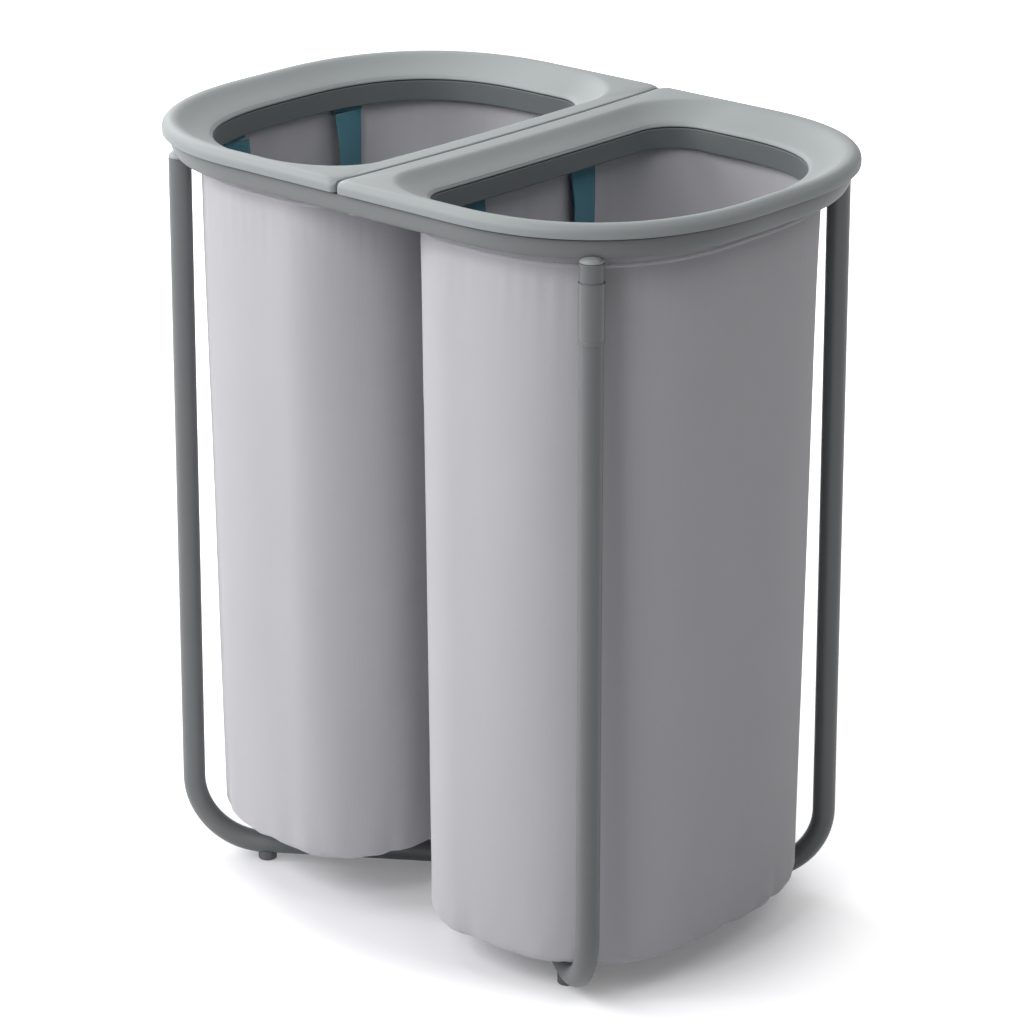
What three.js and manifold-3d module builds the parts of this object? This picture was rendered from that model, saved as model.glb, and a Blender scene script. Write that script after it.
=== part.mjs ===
// Laundry hamper with two lift-out bags, in millimetres, +Z up.
// The origin is on the floor under the middle of the hamper. X runs along its length, from the
// rear bag at -X to the front bag at +X, and Y runs along the seam between the two bags.
import * as THREE from 'three';
import { mergeVertices } from 'three/addons/utils/BufferGeometryUtils.js';
import Module from 'manifold-3d';

const wasm = await Module();
wasm.setup();

// Driving dimensions of the whole hamper
const overall = {
  halfLength: 284,
  halfWidth: 199,
  height: 662,
  cornerAlong: 168,
  endStraight: 21,
  cornerPower: 2.31,
};
const clearance = 0.3;
const overrun = 2;

// Counts of segments round each outline
const counts = {
  cornerSteps: 13,
  seamCornerSteps: 5,
  seamSteps: 4,
  endSteps: 2,
  sideSteps: 2,
  bead: 4,
  round: 16,
  arc: 8,
  bend: 8,
};

// Rims: one for each bag, a round bead outside and a slope down to the mouth
const rim = {
  seamGap: 1.6,
  seamCorner: 14,
  beadRadius: 12,
  seamBeadRadius: 8,
  lipHeight: 13.3,
  lipDrop: 1.4,
  lipChamfer: 0.6,
  seamDip: 3.8,
  footWidth: 9,
  seamFootWidth: 6.5,
  footUnder: 7,
  wall: 2.2,
  edge: 1.8,
  overBeadTurn: THREE.MathUtils.degToRad(22),
};
const mouth = {
  fromSeam: 43,
  endInset: 40,
  sideInset: 43,
  seamCornerAlong: 50,
  seamCornerAcross: 50,
  cornerAlongInset: 32,
  cornerAcrossInset: 24,
  cornerPower: 2.7,
  drop: 15,
};

// Collars: a dark band that hangs inside each mouth
const collar = { wall: 2, drop: 18.8, flange: 4, flangeThickness: 2 };

// Top ring, which carries the rims and the hoops of the bags
const ring = {
  inset: 5.5,
  depth: 15.7,
  insideInset: 26,
  rebateInset: 16.4,
  rebateDepth: 4.3,
  bottomChamfer: 1.6,
  bottomInset: 13,
  faceInsetShares: [0, 0.1, 0.32, 0.62, 1],
  faceDepthShares: [0, 0.34, 0.63, 0.87, 1],
};

// Bar under the seam, tenoned into the ring at both ends
const bar = {
  halfWidth: 13,
  depth: 16,
  edge: 3,
  tenonHalfWidth: 10,
  tenonThickness: 6,
  tenonLength: 9,
  tenonBelow: 2.5,
};

// Bags: open fabric shells, a little narrower at the bottom
const bag = {
  fromSeam: 19,
  endInset: 30,
  sideInset: 31,
  seamCornerAlong: 72,
  seamCornerPastHandle: 7.5,
  cornerAlongInset: 30,
  cornerAcrossInset: 26,
  cornerPower: 2.4,
  wall: 1.2,
  floor: 1.5,
  hem: 0.8,
  hemDepth: 23,
  hemStep: 0.6,
  bottomRound: 14,
  bottomSoft: 4,
  bottomTaperShare: 0.965,
  wallHeightShares: [0.78, 0.5, 0.22],
};

// How far each bag's floor hangs above the hub's cover
const bagAboveHub = { rear: 17.5, front: 2.5 };

// Hoops: the stiff frame in the hem of each bag
const hoop = { seamGap: 4, sideGap: 0.6, thickness: 4, skirt: 2, skirtDepth: 14, seamCorner: 12, ease: 1.8 };

// Boards that stiffen the floors of the bags
const board = { inset: 18, thickness: 3 };

// Loop handles of webbing, two in each bag
const handle = {
  width: 30,
  thickness: 1.6,
  spacing: 135,
  drop: 57.5,
  tabHeight: 17.5,
  belowCollar: 4.2,
  endGap: 3.6,
  seat: 0.7,
};

// Legs: bent tube, from the ring down and in to the hub
const leg = {
  radius: 9.5,
  wall: 1.3,
  bendRadius: 60,
  ringInset: 8.76,
  cornerTurn: THREE.MathUtils.degToRad(49.9),
  lean: 5,
  underside: 5.5,
  belowRing: 2.5,
};
const plug = { dome: 5.4, edge: 0.6, shankLength: 25, holeRadius: 2.3, holeDepth: 12 };
const screw = { radius: 2, headRadius: 3.6, headHeight: 2.6, counterboreBelow: 7.6 };
const foot = { radius: 8, chamfer: 1, cup: 3.5, pastBend: 3 };
const sleeve = { wall: 0.5, length: 48, belowTop: 15 };

// Hub: four sockets for the tubes, with a cover over its middle
const hub = {
  radius: 36,
  reach: 61,
  socketWall: 2.4,
  overTube: 2.5,
  tubeStart: 26,
  coverRadius: 24,
  coverDepth: 3,
  coverDome: 0.2,
};
const grub = { radius: 2, along: 48 };

// Widths that the pieces share
const cornerAcross = overall.halfWidth - overall.endStraight;
const handleReach = (handle.spacing + handle.width) / 2;

// Heights that the pieces share
const lipBottom = overall.height - rim.lipHeight;
const ringTop = lipBottom - clearance;
const ringBottom = ringTop - ring.depth;
const rebateFloor = ringTop - ring.rebateDepth;
const hoopBottom = rebateFloor + clearance;
const hoopTop = hoopBottom + hoop.thickness;
const mouthHeight = overall.height - mouth.drop;
const collarTop = mouthHeight - rim.edge - clearance;
const collarBottom = collarTop - collar.drop;
const bagTop = hoopBottom - clearance;
const hemBottom = bagTop - bag.hemDepth;
const loopTop = collarBottom - handle.belowCollar;
const legTop = ringBottom - leg.belowRing;
const tubeHeight = leg.underside + leg.radius;
const hubHalfHeight = leg.radius + hub.overTube;
const hubTop = tubeHeight + hubHalfHeight;
const coverTop = hubTop + clearance + hub.coverDome;
const bagFloorHeight = { rear: coverTop + bagAboveHub.rear, front: coverTop + bagAboveHub.front };

// Finishes
function finish(color, roughness, metalness = 0) {
  return new THREE.MeshStandardMaterial({ color, roughness, metalness });
}
const finishes = {
  rim: () => finish(0xb4baba, 0.42),
  collar: () => finish(0x6a6e70, 0.55),
  ring: () => finish(0x858888, 0.5),
  bag: () => finish(0xc3c2c8, 0.95),
  hoop: () => finish(0x8c8f90, 0.6),
  board: () => finish(0x9a9aa0, 0.8),
  webbing: () => finish(0x3a6a7a, 0.9),
  tube: () => finish(0x7d8182, 0.45, 0.3),
  plug: () => finish(0xa4a6a7, 0.5),
  screw: () => finish(0xb8babc, 0.35, 0.9),
  foot: () => finish(0x565859, 0.85),
  sleeve: () => finish(0x86898a, 0.4),
};

// The outline of one bin seen from above, as a loop of points {x, y, seamShare}. It has two large
// corners away from the seam and two smaller ones beside it. Each corner is a quarter of a
// superellipse. side is 1 for the front bin and -1 for the rear one.
const ellipsePower = 2;

function binLoop(shape, side) {
  const half = [];
  const corner = (steps, centreX, centreY, alongRadius, acrossRadius, power, from, seam) => {
    for (let i = 0; i <= steps; i += 1) {
      const share = i / steps;
      const angle = from + (share * Math.PI) / 2;
      const c = Math.cos(angle);
      const s = Math.sin(angle);
      half.push({
        x: centreX + Math.sign(c) * alongRadius * Math.abs(c) ** (2 / power),
        y: centreY + acrossRadius * Math.abs(s) ** (2 / power),
        seamShare: seam ? share : 0,
      });
    }
  };
  const straight = (steps) => {
    half.push({ straight: steps });
  };
  straight(counts.endSteps / 2);
  corner(
    counts.cornerSteps, shape.toEnd - shape.cornerAlong, shape.toSide - shape.cornerAcross,
    shape.cornerAlong, shape.cornerAcross, shape.cornerPower, 0, false,
  );
  straight(counts.sideSteps);
  corner(
    counts.seamCornerSteps, shape.fromSeam + shape.seamCornerAlong, shape.toSide - shape.seamCornerAcross,
    shape.seamCornerAlong, shape.seamCornerAcross, ellipsePower, Math.PI / 2, true,
  );
  straight(counts.seamSteps / 2);
  const first = { x: shape.toEnd, y: 0, seamShare: 0 };
  const last = { x: shape.fromSeam, y: 0, seamShare: 1 };
  const upper = [first];
  half.forEach((item, index) => {
    if (!item.straight) {
      upper.push(item);
      return;
    }
    const a = upper[upper.length - 1];
    const b = index === half.length - 1 ? last : half[index + 1];
    for (let i = 1; i < item.straight; i += 1) {
      const t = i / item.straight;
      upper.push({
        x: a.x + (b.x - a.x) * t,
        y: a.y + (b.y - a.y) * t,
        seamShare: a.seamShare + (b.seamShare - a.seamShare) * t,
      });
    }
  });
  upper.push(last);
  const lower = upper.slice(1, -1).reverse().map((p) => ({ ...p, y: -p.y }));
  const loop = [...upper, ...lower].map((p) => ({ ...p, x: p.x * side }));
  return side > 0 ? loop : loop.reverse();
}

// The same outline drawn in by an inset, which may differ beside the seam
function insetShape(shape, inset, seamInset = inset) {
  return {
    ...shape,
    fromSeam: shape.fromSeam + seamInset,
    toEnd: shape.toEnd - inset,
    toSide: shape.toSide - inset,
    seamCornerAlong: shape.seamCornerAlong - seamInset,
    seamCornerAcross: shape.seamCornerAcross - inset,
    cornerAlong: shape.cornerAlong - inset,
    cornerAcross: shape.cornerAcross - inset,
  };
}

function mixShapes(a, b, share) {
  const mixed = {};
  Object.keys(a).forEach((key) => {
    mixed[key] = a[key] + (b[key] - a[key]) * share;
  });
  return mixed;
}

// The outline narrowed about the middle of its bin
function taperShape(shape, share) {
  const middle = (shape.fromSeam + shape.toEnd) / 2;
  const away = (x) => middle + (x - middle) * share;
  return {
    ...shape,
    fromSeam: away(shape.fromSeam),
    toEnd: away(shape.toEnd),
    toSide: shape.toSide * share,
    seamCornerAlong: shape.seamCornerAlong * share,
    seamCornerAcross: shape.seamCornerAcross * share,
    cornerAlong: shape.cornerAlong * share,
    cornerAcross: shape.cornerAcross * share,
  };
}

const rimShape = {
  fromSeam: rim.seamGap / 2,
  toEnd: overall.halfLength,
  toSide: overall.halfWidth,
  seamCornerAlong: rim.seamCorner,
  seamCornerAcross: rim.seamCorner,
  cornerAlong: overall.cornerAlong,
  cornerAcross,
  cornerPower: overall.cornerPower,
};

// The outline of a piece that keeps its own insets from the rim's outline
function shapeInside(piece) {
  return {
    fromSeam: piece.fromSeam,
    toEnd: rimShape.toEnd - piece.endInset,
    toSide: rimShape.toSide - piece.sideInset,
    seamCornerAlong: piece.seamCornerAlong,
    seamCornerAcross: piece.seamCornerAcross,
    cornerAlong: rimShape.cornerAlong - piece.cornerAlongInset,
    cornerAcross: rimShape.cornerAcross - piece.cornerAcrossInset,
    cornerPower: piece.cornerPower,
  };
}

const mouthShape = shapeInside(mouth);
const bagSeamCorner = overall.halfWidth - bag.sideInset - handleReach - bag.seamCornerPastHandle;
const bagShape = shapeInside({ ...bag, seamCornerAcross: bagSeamCorner });
const hoopShape = {
  ...insetShape(rimShape, ring.rebateInset + hoop.sideGap),
  fromSeam: hoop.seamGap / 2,
  seamCornerAlong: hoop.seamCorner,
  seamCornerAcross: hoop.seamCorner,
};

// A place on the ring's front left corner, a quarter of a superellipse drawn in by an inset
function ringCorner(inset, turn) {
  const exponent = 2 / overall.cornerPower;
  const along = overall.cornerAlong - inset;
  const across = cornerAcross - inset;
  return {
    x: overall.halfLength - overall.cornerAlong + along * Math.abs(Math.cos(turn)) ** exponent,
    y: overall.endStraight + across * Math.abs(Math.sin(turn)) ** exponent,
  };
}

// The outline of the ring seen from above: straight runs joined by four superellipse corners
function ringLoop(inset) {
  const quarter = [];
  for (let i = 0; i <= counts.cornerSteps; i += 1) {
    quarter.push(ringCorner(inset, (i / counts.cornerSteps) * (Math.PI / 2)));
  }
  const back = [...quarter].reverse();
  return [
    ...quarter,
    { x: 0, y: overall.halfWidth - inset },
    ...back.map((p) => ({ x: -p.x, y: p.y })),
    ...quarter.map((p) => ({ x: -p.x, y: -p.y })),
    { x: 0, y: -(overall.halfWidth - inset) },
    ...back.map((p) => ({ x: p.x, y: -p.y })),
  ];
}

// A closed body from loops of points. A ring of loops closes on itself, and otherwise the first and
// last loops are closed by a fan round their middles.
function loftLoops(loops, closedRing) {
  const points = [];
  const triangles = [];
  const size = loops[0].length;
  loops.forEach((loop) => loop.forEach((p) => points.push(p.x, p.y, p.z)));
  const rows = closedRing ? loops.length : loops.length - 1;
  for (let row = 0; row < rows; row += 1) {
    const a = row * size;
    const b = ((row + 1) % loops.length) * size;
    for (let i = 0; i < size; i += 1) {
      const j = (i + 1) % size;
      triangles.push(a + i, a + j, b + j, a + i, b + j, b + i);
    }
  }
  if (!closedRing) {
    [[0, 1], [loops.length - 1, -1]].forEach(([row, turn]) => {
      const loop = loops[row];
      const middle = points.length / 3;
      const total = loop.reduce((sum, p) => [sum[0] + p.x, sum[1] + p.y, sum[2] + p.z], [0, 0, 0]);
      points.push(...total.map((value) => value / size));
      for (let i = 0; i < size; i += 1) {
        const j = (i + 1) % size;
        const [a, b] = turn > 0 ? [j, i] : [i, j];
        triangles.push(middle, row * size + a, row * size + b);
      }
    });
  }
  const geometry = new THREE.BufferGeometry();
  geometry.setAttribute('position', new THREE.Float32BufferAttribute(points, 3));
  geometry.setIndex(triangles);
  return faceOutward(geometry);
}

// Turns a closed body's triangles over if its signed volume is negative
function faceOutward(geometry) {
  const position = geometry.getAttribute('position');
  const index = geometry.getIndex();
  const a = new THREE.Vector3();
  const b = new THREE.Vector3();
  const c = new THREE.Vector3();
  let volume = 0;
  for (let i = 0; i < index.count; i += 3) {
    a.fromBufferAttribute(position, index.getX(i));
    b.fromBufferAttribute(position, index.getX(i + 1));
    c.fromBufferAttribute(position, index.getX(i + 2));
    volume += a.dot(b.cross(c));
  }
  if (volume < 0) {
    for (let i = 0; i < index.count; i += 3) {
      const first = index.getX(i);
      index.setX(i, index.getX(i + 1));
      index.setX(i + 1, first);
    }
  }
  geometry.computeVertexNormals();
  return geometry;
}

const atHeight = (loop, z) => loop.map((p) => ({ x: p.x, y: p.y, z }));

// Booleans
function solid(geometry) {
  const bare = geometry.clone();
  bare.deleteAttribute('normal');
  bare.deleteAttribute('uv');
  const welded = mergeVertices(bare);
  return new wasm.Manifold(new wasm.Mesh({
    numProp: 3,
    vertProperties: Float32Array.from(welded.getAttribute('position').array),
    triVerts: Uint32Array.from(welded.getIndex().array),
  }));
}

function geometryOf(body) {
  const mesh = body.getMesh();
  const geometry = new THREE.BufferGeometry();
  geometry.setAttribute('position', new THREE.Float32BufferAttribute(mesh.vertProperties, 3));
  geometry.setIndex(Array.from(mesh.triVerts));
  geometry.computeVertexNormals();
  return geometry;
}

function cut(body, tools) {
  return geometryOf(tools.reduce((left, tool) => left.subtract(solid(tool)), solid(body)));
}

function join([first, ...others]) {
  return geometryOf(others.reduce((left, part) => left.add(solid(part)), solid(first)));
}

const hamper = new THREE.Group();

function addPiece(name, geometry, material, parent = hamper) {
  const mesh = new THREE.Mesh(geometry, material);
  mesh.name = name;
  parent.add(mesh);
  return mesh;
}

function boxBetween(low, high) {
  const size = high.clone().sub(low);
  const middle = high.clone().add(low).multiplyScalar(1 / 2);
  return new THREE.BoxGeometry(size.x, size.y, size.z).translate(middle.x, middle.y, middle.z);
}

// A turned body with its axis along Z, from points {r, z}
function turned(profile) {
  const lathe = new THREE.LatheGeometry(profile.map((p) => new THREE.Vector2(p.r, p.z)), counts.round);
  lathe.rotateX(Math.PI / 2);
  const bare = lathe.clone();
  bare.deleteAttribute('normal');
  bare.deleteAttribute('uv');
  return faceOutward(mergeVertices(bare));
}

// A rod with its axis along Z from its foot up
function rod(radius, length) {
  return turned([{ r: 0, z: 0 }, { r: radius, z: 0 }, { r: radius, z: length }, { r: 0, z: length }]);
}

// Rims
function rimTop(point) {
  const alongSeam = 1 - (point.y / overall.halfWidth) ** 2;
  return overall.height - rim.seamDip * point.seamShare * alongSeam;
}

function beadRadiusAt(point) {
  return rim.beadRadius + (rim.seamBeadRadius - rim.beadRadius) * point.seamShare;
}

function makeRim(side) {
  const place = (shape, height) => binLoop(shape, side).map((p) => ({ x: p.x, y: p.y, z: height(p) }));
  const lip = insetShape(rimShape, rim.lipChamfer);
  const loops = [place(lip, () => lipBottom), place(rimShape, () => lipBottom + rim.lipDrop)];
  const fullTurn = Math.PI / 2 + rim.overBeadTurn;
  const beadShape = (angle) => {
    const out = 1 - Math.cos(angle);
    return insetShape(rimShape, rim.beadRadius * out, rim.seamBeadRadius * out);
  };
  for (let i = 1; i <= counts.bead + 1; i += 1) {
    const angle = Math.min((i / counts.bead) * (Math.PI / 2), fullTurn);
    loops.push(place(beadShape(angle), (p) => rimTop(p) - beadRadiusAt(p) * (1 - Math.sin(angle))));
  }
  const crest = beadShape(fullTurn);
  const crestFall = 1 - Math.sin(fullTurn);
  const slope = (share, under) => place(mixShapes(crest, mouthShape, share), (p) => {
    const top = rimTop(p) - beadRadiusAt(p) * crestFall;
    return top + (mouthHeight - top) * share - under;
  });
  const middleShare = 0.5;
  loops.push(slope(middleShare, 0), slope(1, 0));
  loops.push(slope(1, rim.edge), slope(middleShare, rim.wall), slope(0, rim.wall));
  const inner = insetShape(rimShape, rim.footWidth, rim.seamFootWidth);
  loops.push(place(inner, (p) => rimTop(p) - rim.footUnder), place(inner, () => lipBottom));
  return loftLoops(loops, true);
}

// Collars
function makeCollar(side) {
  const loop = (grow, z) => atHeight(binLoop(insetShape(mouthShape, -grow), side), z);
  return loftLoops([
    loop(0, collarTop),
    loop(0, collarBottom),
    loop(collar.wall, collarBottom),
    loop(collar.wall, collarTop - collar.flangeThickness),
    loop(collar.flange, collarTop - collar.flangeThickness),
    loop(collar.flange, collarTop),
  ], true);
}

// Bags
function bagShapeAt(z, inset) {
  const fall = (bagTop - z) / bagTop;
  return insetShape(taperShape(bagShape, 1 - (1 - bag.bottomTaperShare) * fall), inset);
}

function makeBag(side, floorHeight) {
  const wallHeight = bagTop - floorHeight;
  const loop = (z, inset) => atHeight(binLoop(bagShapeAt(z, inset), side), z);
  const wallHeights = bag.wallHeightShares.map((share) => floorHeight + wallHeight * share);
  const inside = floorHeight + bag.floor;
  const loops = [
    loop(inside, bag.bottomRound + bag.wall),
    loop(inside + bag.bottomSoft, bag.bottomSoft + bag.wall),
    loop(floorHeight + bag.bottomRound, bag.wall),
    ...[...wallHeights].reverse().map((z) => loop(z, bag.wall)),
    loop(bagTop, bag.wall),
    loop(bagTop, -bag.hem),
    loop(hemBottom, -bag.hem),
    loop(hemBottom - bag.hemStep, 0),
    ...wallHeights.map((z) => loop(z, 0)),
    loop(floorHeight + bag.bottomRound, 0),
    loop(floorHeight + bag.bottomSoft, bag.bottomSoft),
    loop(floorHeight, bag.bottomRound),
  ];
  return loftLoops(loops, false);
}

function makeBoard(side, floorHeight) {
  const low = floorHeight + bag.floor + clearance;
  const shape = binLoop(bagShapeAt(low, board.inset), side);
  return loftLoops([atHeight(shape, low), atHeight(shape, low + board.thickness)], false);
}

// Hoops
function makeHoop(side) {
  const skirtOutside = bag.wall + clearance;
  const skirtInside = skirtOutside + hoop.skirt;
  const skirtBottom = hoopBottom - hoop.skirtDepth;
  const loop = (shape, z) => atHeight(binLoop(shape, side), z);
  return loftLoops([
    loop(hoopShape, hoopBottom),
    loop(hoopShape, hoopTop),
    loop(insetShape(bagShape, skirtInside), hoopTop - hoop.ease),
    loop(insetShape(bagShape, skirtInside), skirtBottom),
    loop(insetShape(bagShape, skirtOutside), skirtBottom),
    loop(insetShape(bagShape, skirtOutside), hoopBottom),
  ], true);
}

// Handles: how far along the bag's end wall reaches at a place across it
function wallEndAt(y) {
  const reach = Math.max(Math.abs(y) - (bagShape.toSide - bagShape.cornerAcross), 0);
  const share = reach / bagShape.cornerAcross;
  const along = (1 - share ** bagShape.cornerPower) ** (1 / bagShape.cornerPower);
  return bagShape.toEnd - bagShape.cornerAlong * (1 - along);
}

// The face of the hoop's skirt that a tab is sewn to, and the planes that the loops hang in
const tabInset = bag.wall + clearance + hoop.skirt + handle.seat + handle.thickness / 2;
const skirtEndAt = (y) => wallEndAt(y) - tabInset;
const handlePlane = { seam: bagShape.fromSeam + tabInset, end: wallEndAt(handleReach) - handle.endGap };

function makeTab(side, planeAt, across) {
  const bottom = loopTop + clearance;
  const half = handle.thickness / 2;
  const middle = (across * handle.spacing) / 2;
  const steps = [-1, 0, 1].map((step) => middle + (step * handle.width) / 2);
  const loop = (z) => [
    ...steps.map((y) => ({ x: side * (planeAt(y) - half), y, z })),
    ...[...steps].reverse().map((y) => ({ x: side * (planeAt(y) + half), y, z })),
  ];
  return loftLoops([loop(bottom), loop(bottom + handle.tabHeight)], false);
}

function makeLoop(side, plane) {
  const outer = handleReach;
  const inner = handleReach - handle.width;
  const turn = loopTop - handle.drop;
  const shape = new THREE.Shape();
  shape.moveTo(outer, loopTop);
  shape.lineTo(outer, turn);
  shape.absarc(0, turn, outer, 0, -Math.PI, true);
  shape.lineTo(-outer, loopTop);
  shape.lineTo(-inner, loopTop);
  shape.lineTo(-inner, turn);
  shape.absarc(0, turn, inner, -Math.PI, 0, false);
  shape.lineTo(inner, loopTop);
  const flat = new THREE.ExtrudeGeometry(shape, {
    depth: handle.thickness, bevelEnabled: false, curveSegments: counts.arc, steps: 1,
  });
  flat.translate(0, 0, -handle.thickness / 2);
  flat.rotateX(Math.PI / 2);
  flat.rotateZ(Math.PI / 2);
  flat.translate(side * plane, 0, 0);
  return flat;
}

const bins = [['rear', -1], ['front', 1]];
bins.forEach(([name, side]) => {
  addPiece(`${name}_rim`, makeRim(side), finishes.rim());
  addPiece(`${name}_rim_collar`, makeCollar(side), finishes.collar());
  addPiece(`${name}_bag`, makeBag(side, bagFloorHeight[name]), finishes.bag());
  addPiece(`${name}_bag_hoop`, makeHoop(side), finishes.hoop());
  addPiece(`${name}_base_board`, makeBoard(side, bagFloorHeight[name]), finishes.board());
  Object.entries({ seam: () => handlePlane.seam, end: skirtEndAt }).forEach(([wall, planeAt]) => {
    addPiece(`${name}_${wall}_handle`, makeLoop(side, handlePlane[wall]), finishes.webbing());
    addPiece(`${name}_${wall}_handle_tab_left`, makeTab(side, planeAt, 1), finishes.webbing());
    addPiece(`${name}_${wall}_handle_tab_right`, makeTab(side, planeAt, -1), finishes.webbing());
  });
});

// Legs: each lies in an upright plane through the middle of the hamper, under the ring's corner
const { x: legAlong, y: legAcross } = ringCorner(leg.ringInset, leg.cornerTurn);
const legReach = Math.hypot(legAlong, legAcross);
const legHeading = Math.atan2(legAcross, legAlong);
const bendCentre = { out: legReach - leg.bendRadius, z: tubeHeight + leg.bendRadius };
const leanAngle = Math.atan2(leg.lean, legTop - bendCentre.z);

// A path whose stations are given, so that a straight run takes one step and a bend takes several
class StationPath extends THREE.Curve {
  constructor(points, tangents) {
    super();
    this.points = points;
    this.tangents = tangents;
  }

  stationAt(list, u) {
    return list[Math.round(u * (list.length - 1))];
  }

  getPointAt(u, target = new THREE.Vector3()) {
    return target.copy(this.stationAt(this.points, u));
  }

  getTangentAt(u, target = new THREE.Vector3()) {
    return target.copy(this.stationAt(this.tangents, u));
  }
}

// Corners of the hamper: heading of the leg's plane and its name
const corners = [
  ['front_left', 1, 1],
  ['front_right', 1, -1],
  ['rear_left', -1, 1],
  ['rear_right', -1, -1],
].map(([name, along, across]) => ({
  name,
  heading: Math.atan2(across * Math.sin(legHeading), along * Math.cos(legHeading)),
}));

function outAt(heading, out, z) {
  return new THREE.Vector3(out * Math.cos(heading), out * Math.sin(heading), z);
}

// The turn and place of a leg's top end, with its Z axis up along the tube
function legTopFrame(heading) {
  const up = outAt(heading, -Math.sin(leanAngle), Math.cos(leanAngle));
  const out = outAt(heading, Math.cos(leanAngle), Math.sin(leanAngle));
  const across = new THREE.Vector3().crossVectors(up, out);
  const matrix = new THREE.Matrix4().makeBasis(out, across, up);
  const bendEnd = {
    out: bendCentre.out + leg.bendRadius * Math.cos(leanAngle),
    z: bendCentre.z + leg.bendRadius * Math.sin(leanAngle),
  };
  const rise = (legTop - bendEnd.z) / Math.cos(leanAngle);
  matrix.setPosition(outAt(heading, bendEnd.out - rise * Math.sin(leanAngle), legTop));
  return matrix;
}

function makeLeg(heading) {
  const points = [outAt(heading, hub.tubeStart, tubeHeight)];
  const tangents = [outAt(heading, 1, 0)];
  for (let i = 0; i <= counts.bend; i += 1) {
    const angle = -Math.PI / 2 + (i / counts.bend) * (Math.PI / 2 + leanAngle);
    const out = bendCentre.out + leg.bendRadius * Math.cos(angle);
    points.push(outAt(heading, out, bendCentre.z + leg.bendRadius * Math.sin(angle)));
    tangents.push(outAt(heading, -Math.sin(angle), Math.cos(angle)));
  }
  points.push(new THREE.Vector3().setFromMatrixPosition(legTopFrame(heading)));
  tangents.push(tangents[tangents.length - 1].clone());
  const section = new THREE.Shape();
  section.absarc(0, 0, leg.radius, 0, 2 * Math.PI, false);
  const bore = new THREE.Path();
  bore.absarc(0, 0, leg.radius - leg.wall, 0, 2 * Math.PI, true);
  section.holes.push(bore);
  return new THREE.ExtrudeGeometry(section, {
    steps: points.length - 1,
    curveSegments: counts.arc,
    bevelEnabled: false,
    extrudePath: new StationPath(points, tangents),
  });
}

// The plug in the top of a leg: a domed head over a shank, with a hole for the screw
const plugHead = clearance + plug.edge;

function plugProfile(grow) {
  const radius = leg.radius + grow;
  const dome = [];
  for (let i = 0; i <= counts.bead; i += 1) {
    const angle = (i / counts.bead) * (Math.PI / 2);
    dome.push({ r: radius * Math.cos(angle), z: plugHead + (plug.dome + grow) * Math.sin(angle) });
  }
  return dome;
}

function makePlug(frame) {
  const shank = leg.radius - leg.wall - clearance;
  const dome = plugProfile(0).slice(0, -1);
  const atHole = plugHead + plug.dome * Math.sqrt(1 - (plug.holeRadius / leg.radius) ** 2);
  return turned([
    { r: 0, z: -plug.shankLength },
    { r: shank, z: -plug.shankLength },
    { r: shank, z: clearance },
    { r: leg.radius, z: clearance },
    ...dome,
    { r: plug.holeRadius, z: atHole },
    { r: plug.holeRadius, z: -plug.holeDepth },
    { r: 0, z: -plug.holeDepth },
  ]).applyMatrix4(frame);
}

// The heights of a leg screw above the end of its tube
const counterbore = ringTop - screw.counterboreBelow - legTop;

function makeLegScrew(frame) {
  const low = -plug.holeDepth + clearance;
  return turned([
    { r: 0, z: low },
    { r: screw.radius, z: low },
    { r: screw.radius, z: counterbore + clearance },
    { r: screw.headRadius, z: counterbore + clearance },
    { r: screw.headRadius, z: counterbore + clearance + screw.headHeight },
    { r: 0, z: counterbore + clearance + screw.headHeight },
  ]).applyMatrix4(frame);
}

// What the ring gives up for a leg: the plug's seat, and the screw's hole and counterbore
function legSeat(frame) {
  const dome = plugProfile(clearance);
  return turned([
    { r: 0, z: -overrun },
    { r: leg.radius + clearance, z: -overrun },
    ...dome.slice(0, -1),
    { r: 0, z: dome[dome.length - 1].z },
  ]).applyMatrix4(frame);
}

function screwHole(frame) {
  const high = ringTop + overrun - legTop;
  return turned([
    { r: 0, z: plugHead },
    { r: plug.holeRadius, z: plugHead },
    { r: plug.holeRadius, z: counterbore },
    { r: screw.headRadius + clearance, z: counterbore },
    { r: screw.headRadius + clearance, z: high },
    { r: 0, z: high },
  ]).applyMatrix4(frame);
}

// Feet: a round pad with a cup that the tube lies in
function makeFoot(heading) {
  const out = bendCentre.out - foot.pastBend;
  const place = outAt(heading, out, 0);
  const high = leg.underside + foot.cup;
  const pad = turned([
    { r: 0, z: 0 },
    { r: foot.radius - foot.chamfer, z: 0 },
    { r: foot.radius, z: foot.chamfer },
    { r: foot.radius, z: high },
    { r: 0, z: high },
  ]).translate(place.x, place.y, place.z);
  const reach = 2 * foot.radius;
  const tube = rod(leg.radius + clearance, 2 * reach).translate(0, 0, -reach);
  tube.rotateY(Math.PI / 2);
  tube.rotateZ(heading);
  tube.translate(place.x, place.y, tubeHeight);
  return cut(pad, [tube]);
}

// Frame
const ringCuts = [];
corners.forEach(({ name, heading }) => {
  const frame = legTopFrame(heading);
  addPiece(`${name}_leg`, makeLeg(heading), finishes.tube());
  addPiece(`${name}_leg_plug`, makePlug(frame), finishes.plug());
  addPiece(`${name}_foot`, makeFoot(heading), finishes.foot());
  addPiece(`${name}_leg_screw`, makeLegScrew(frame), finishes.screw());
  ringCuts.push(legSeat(frame), screwHole(frame));
});

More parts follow.
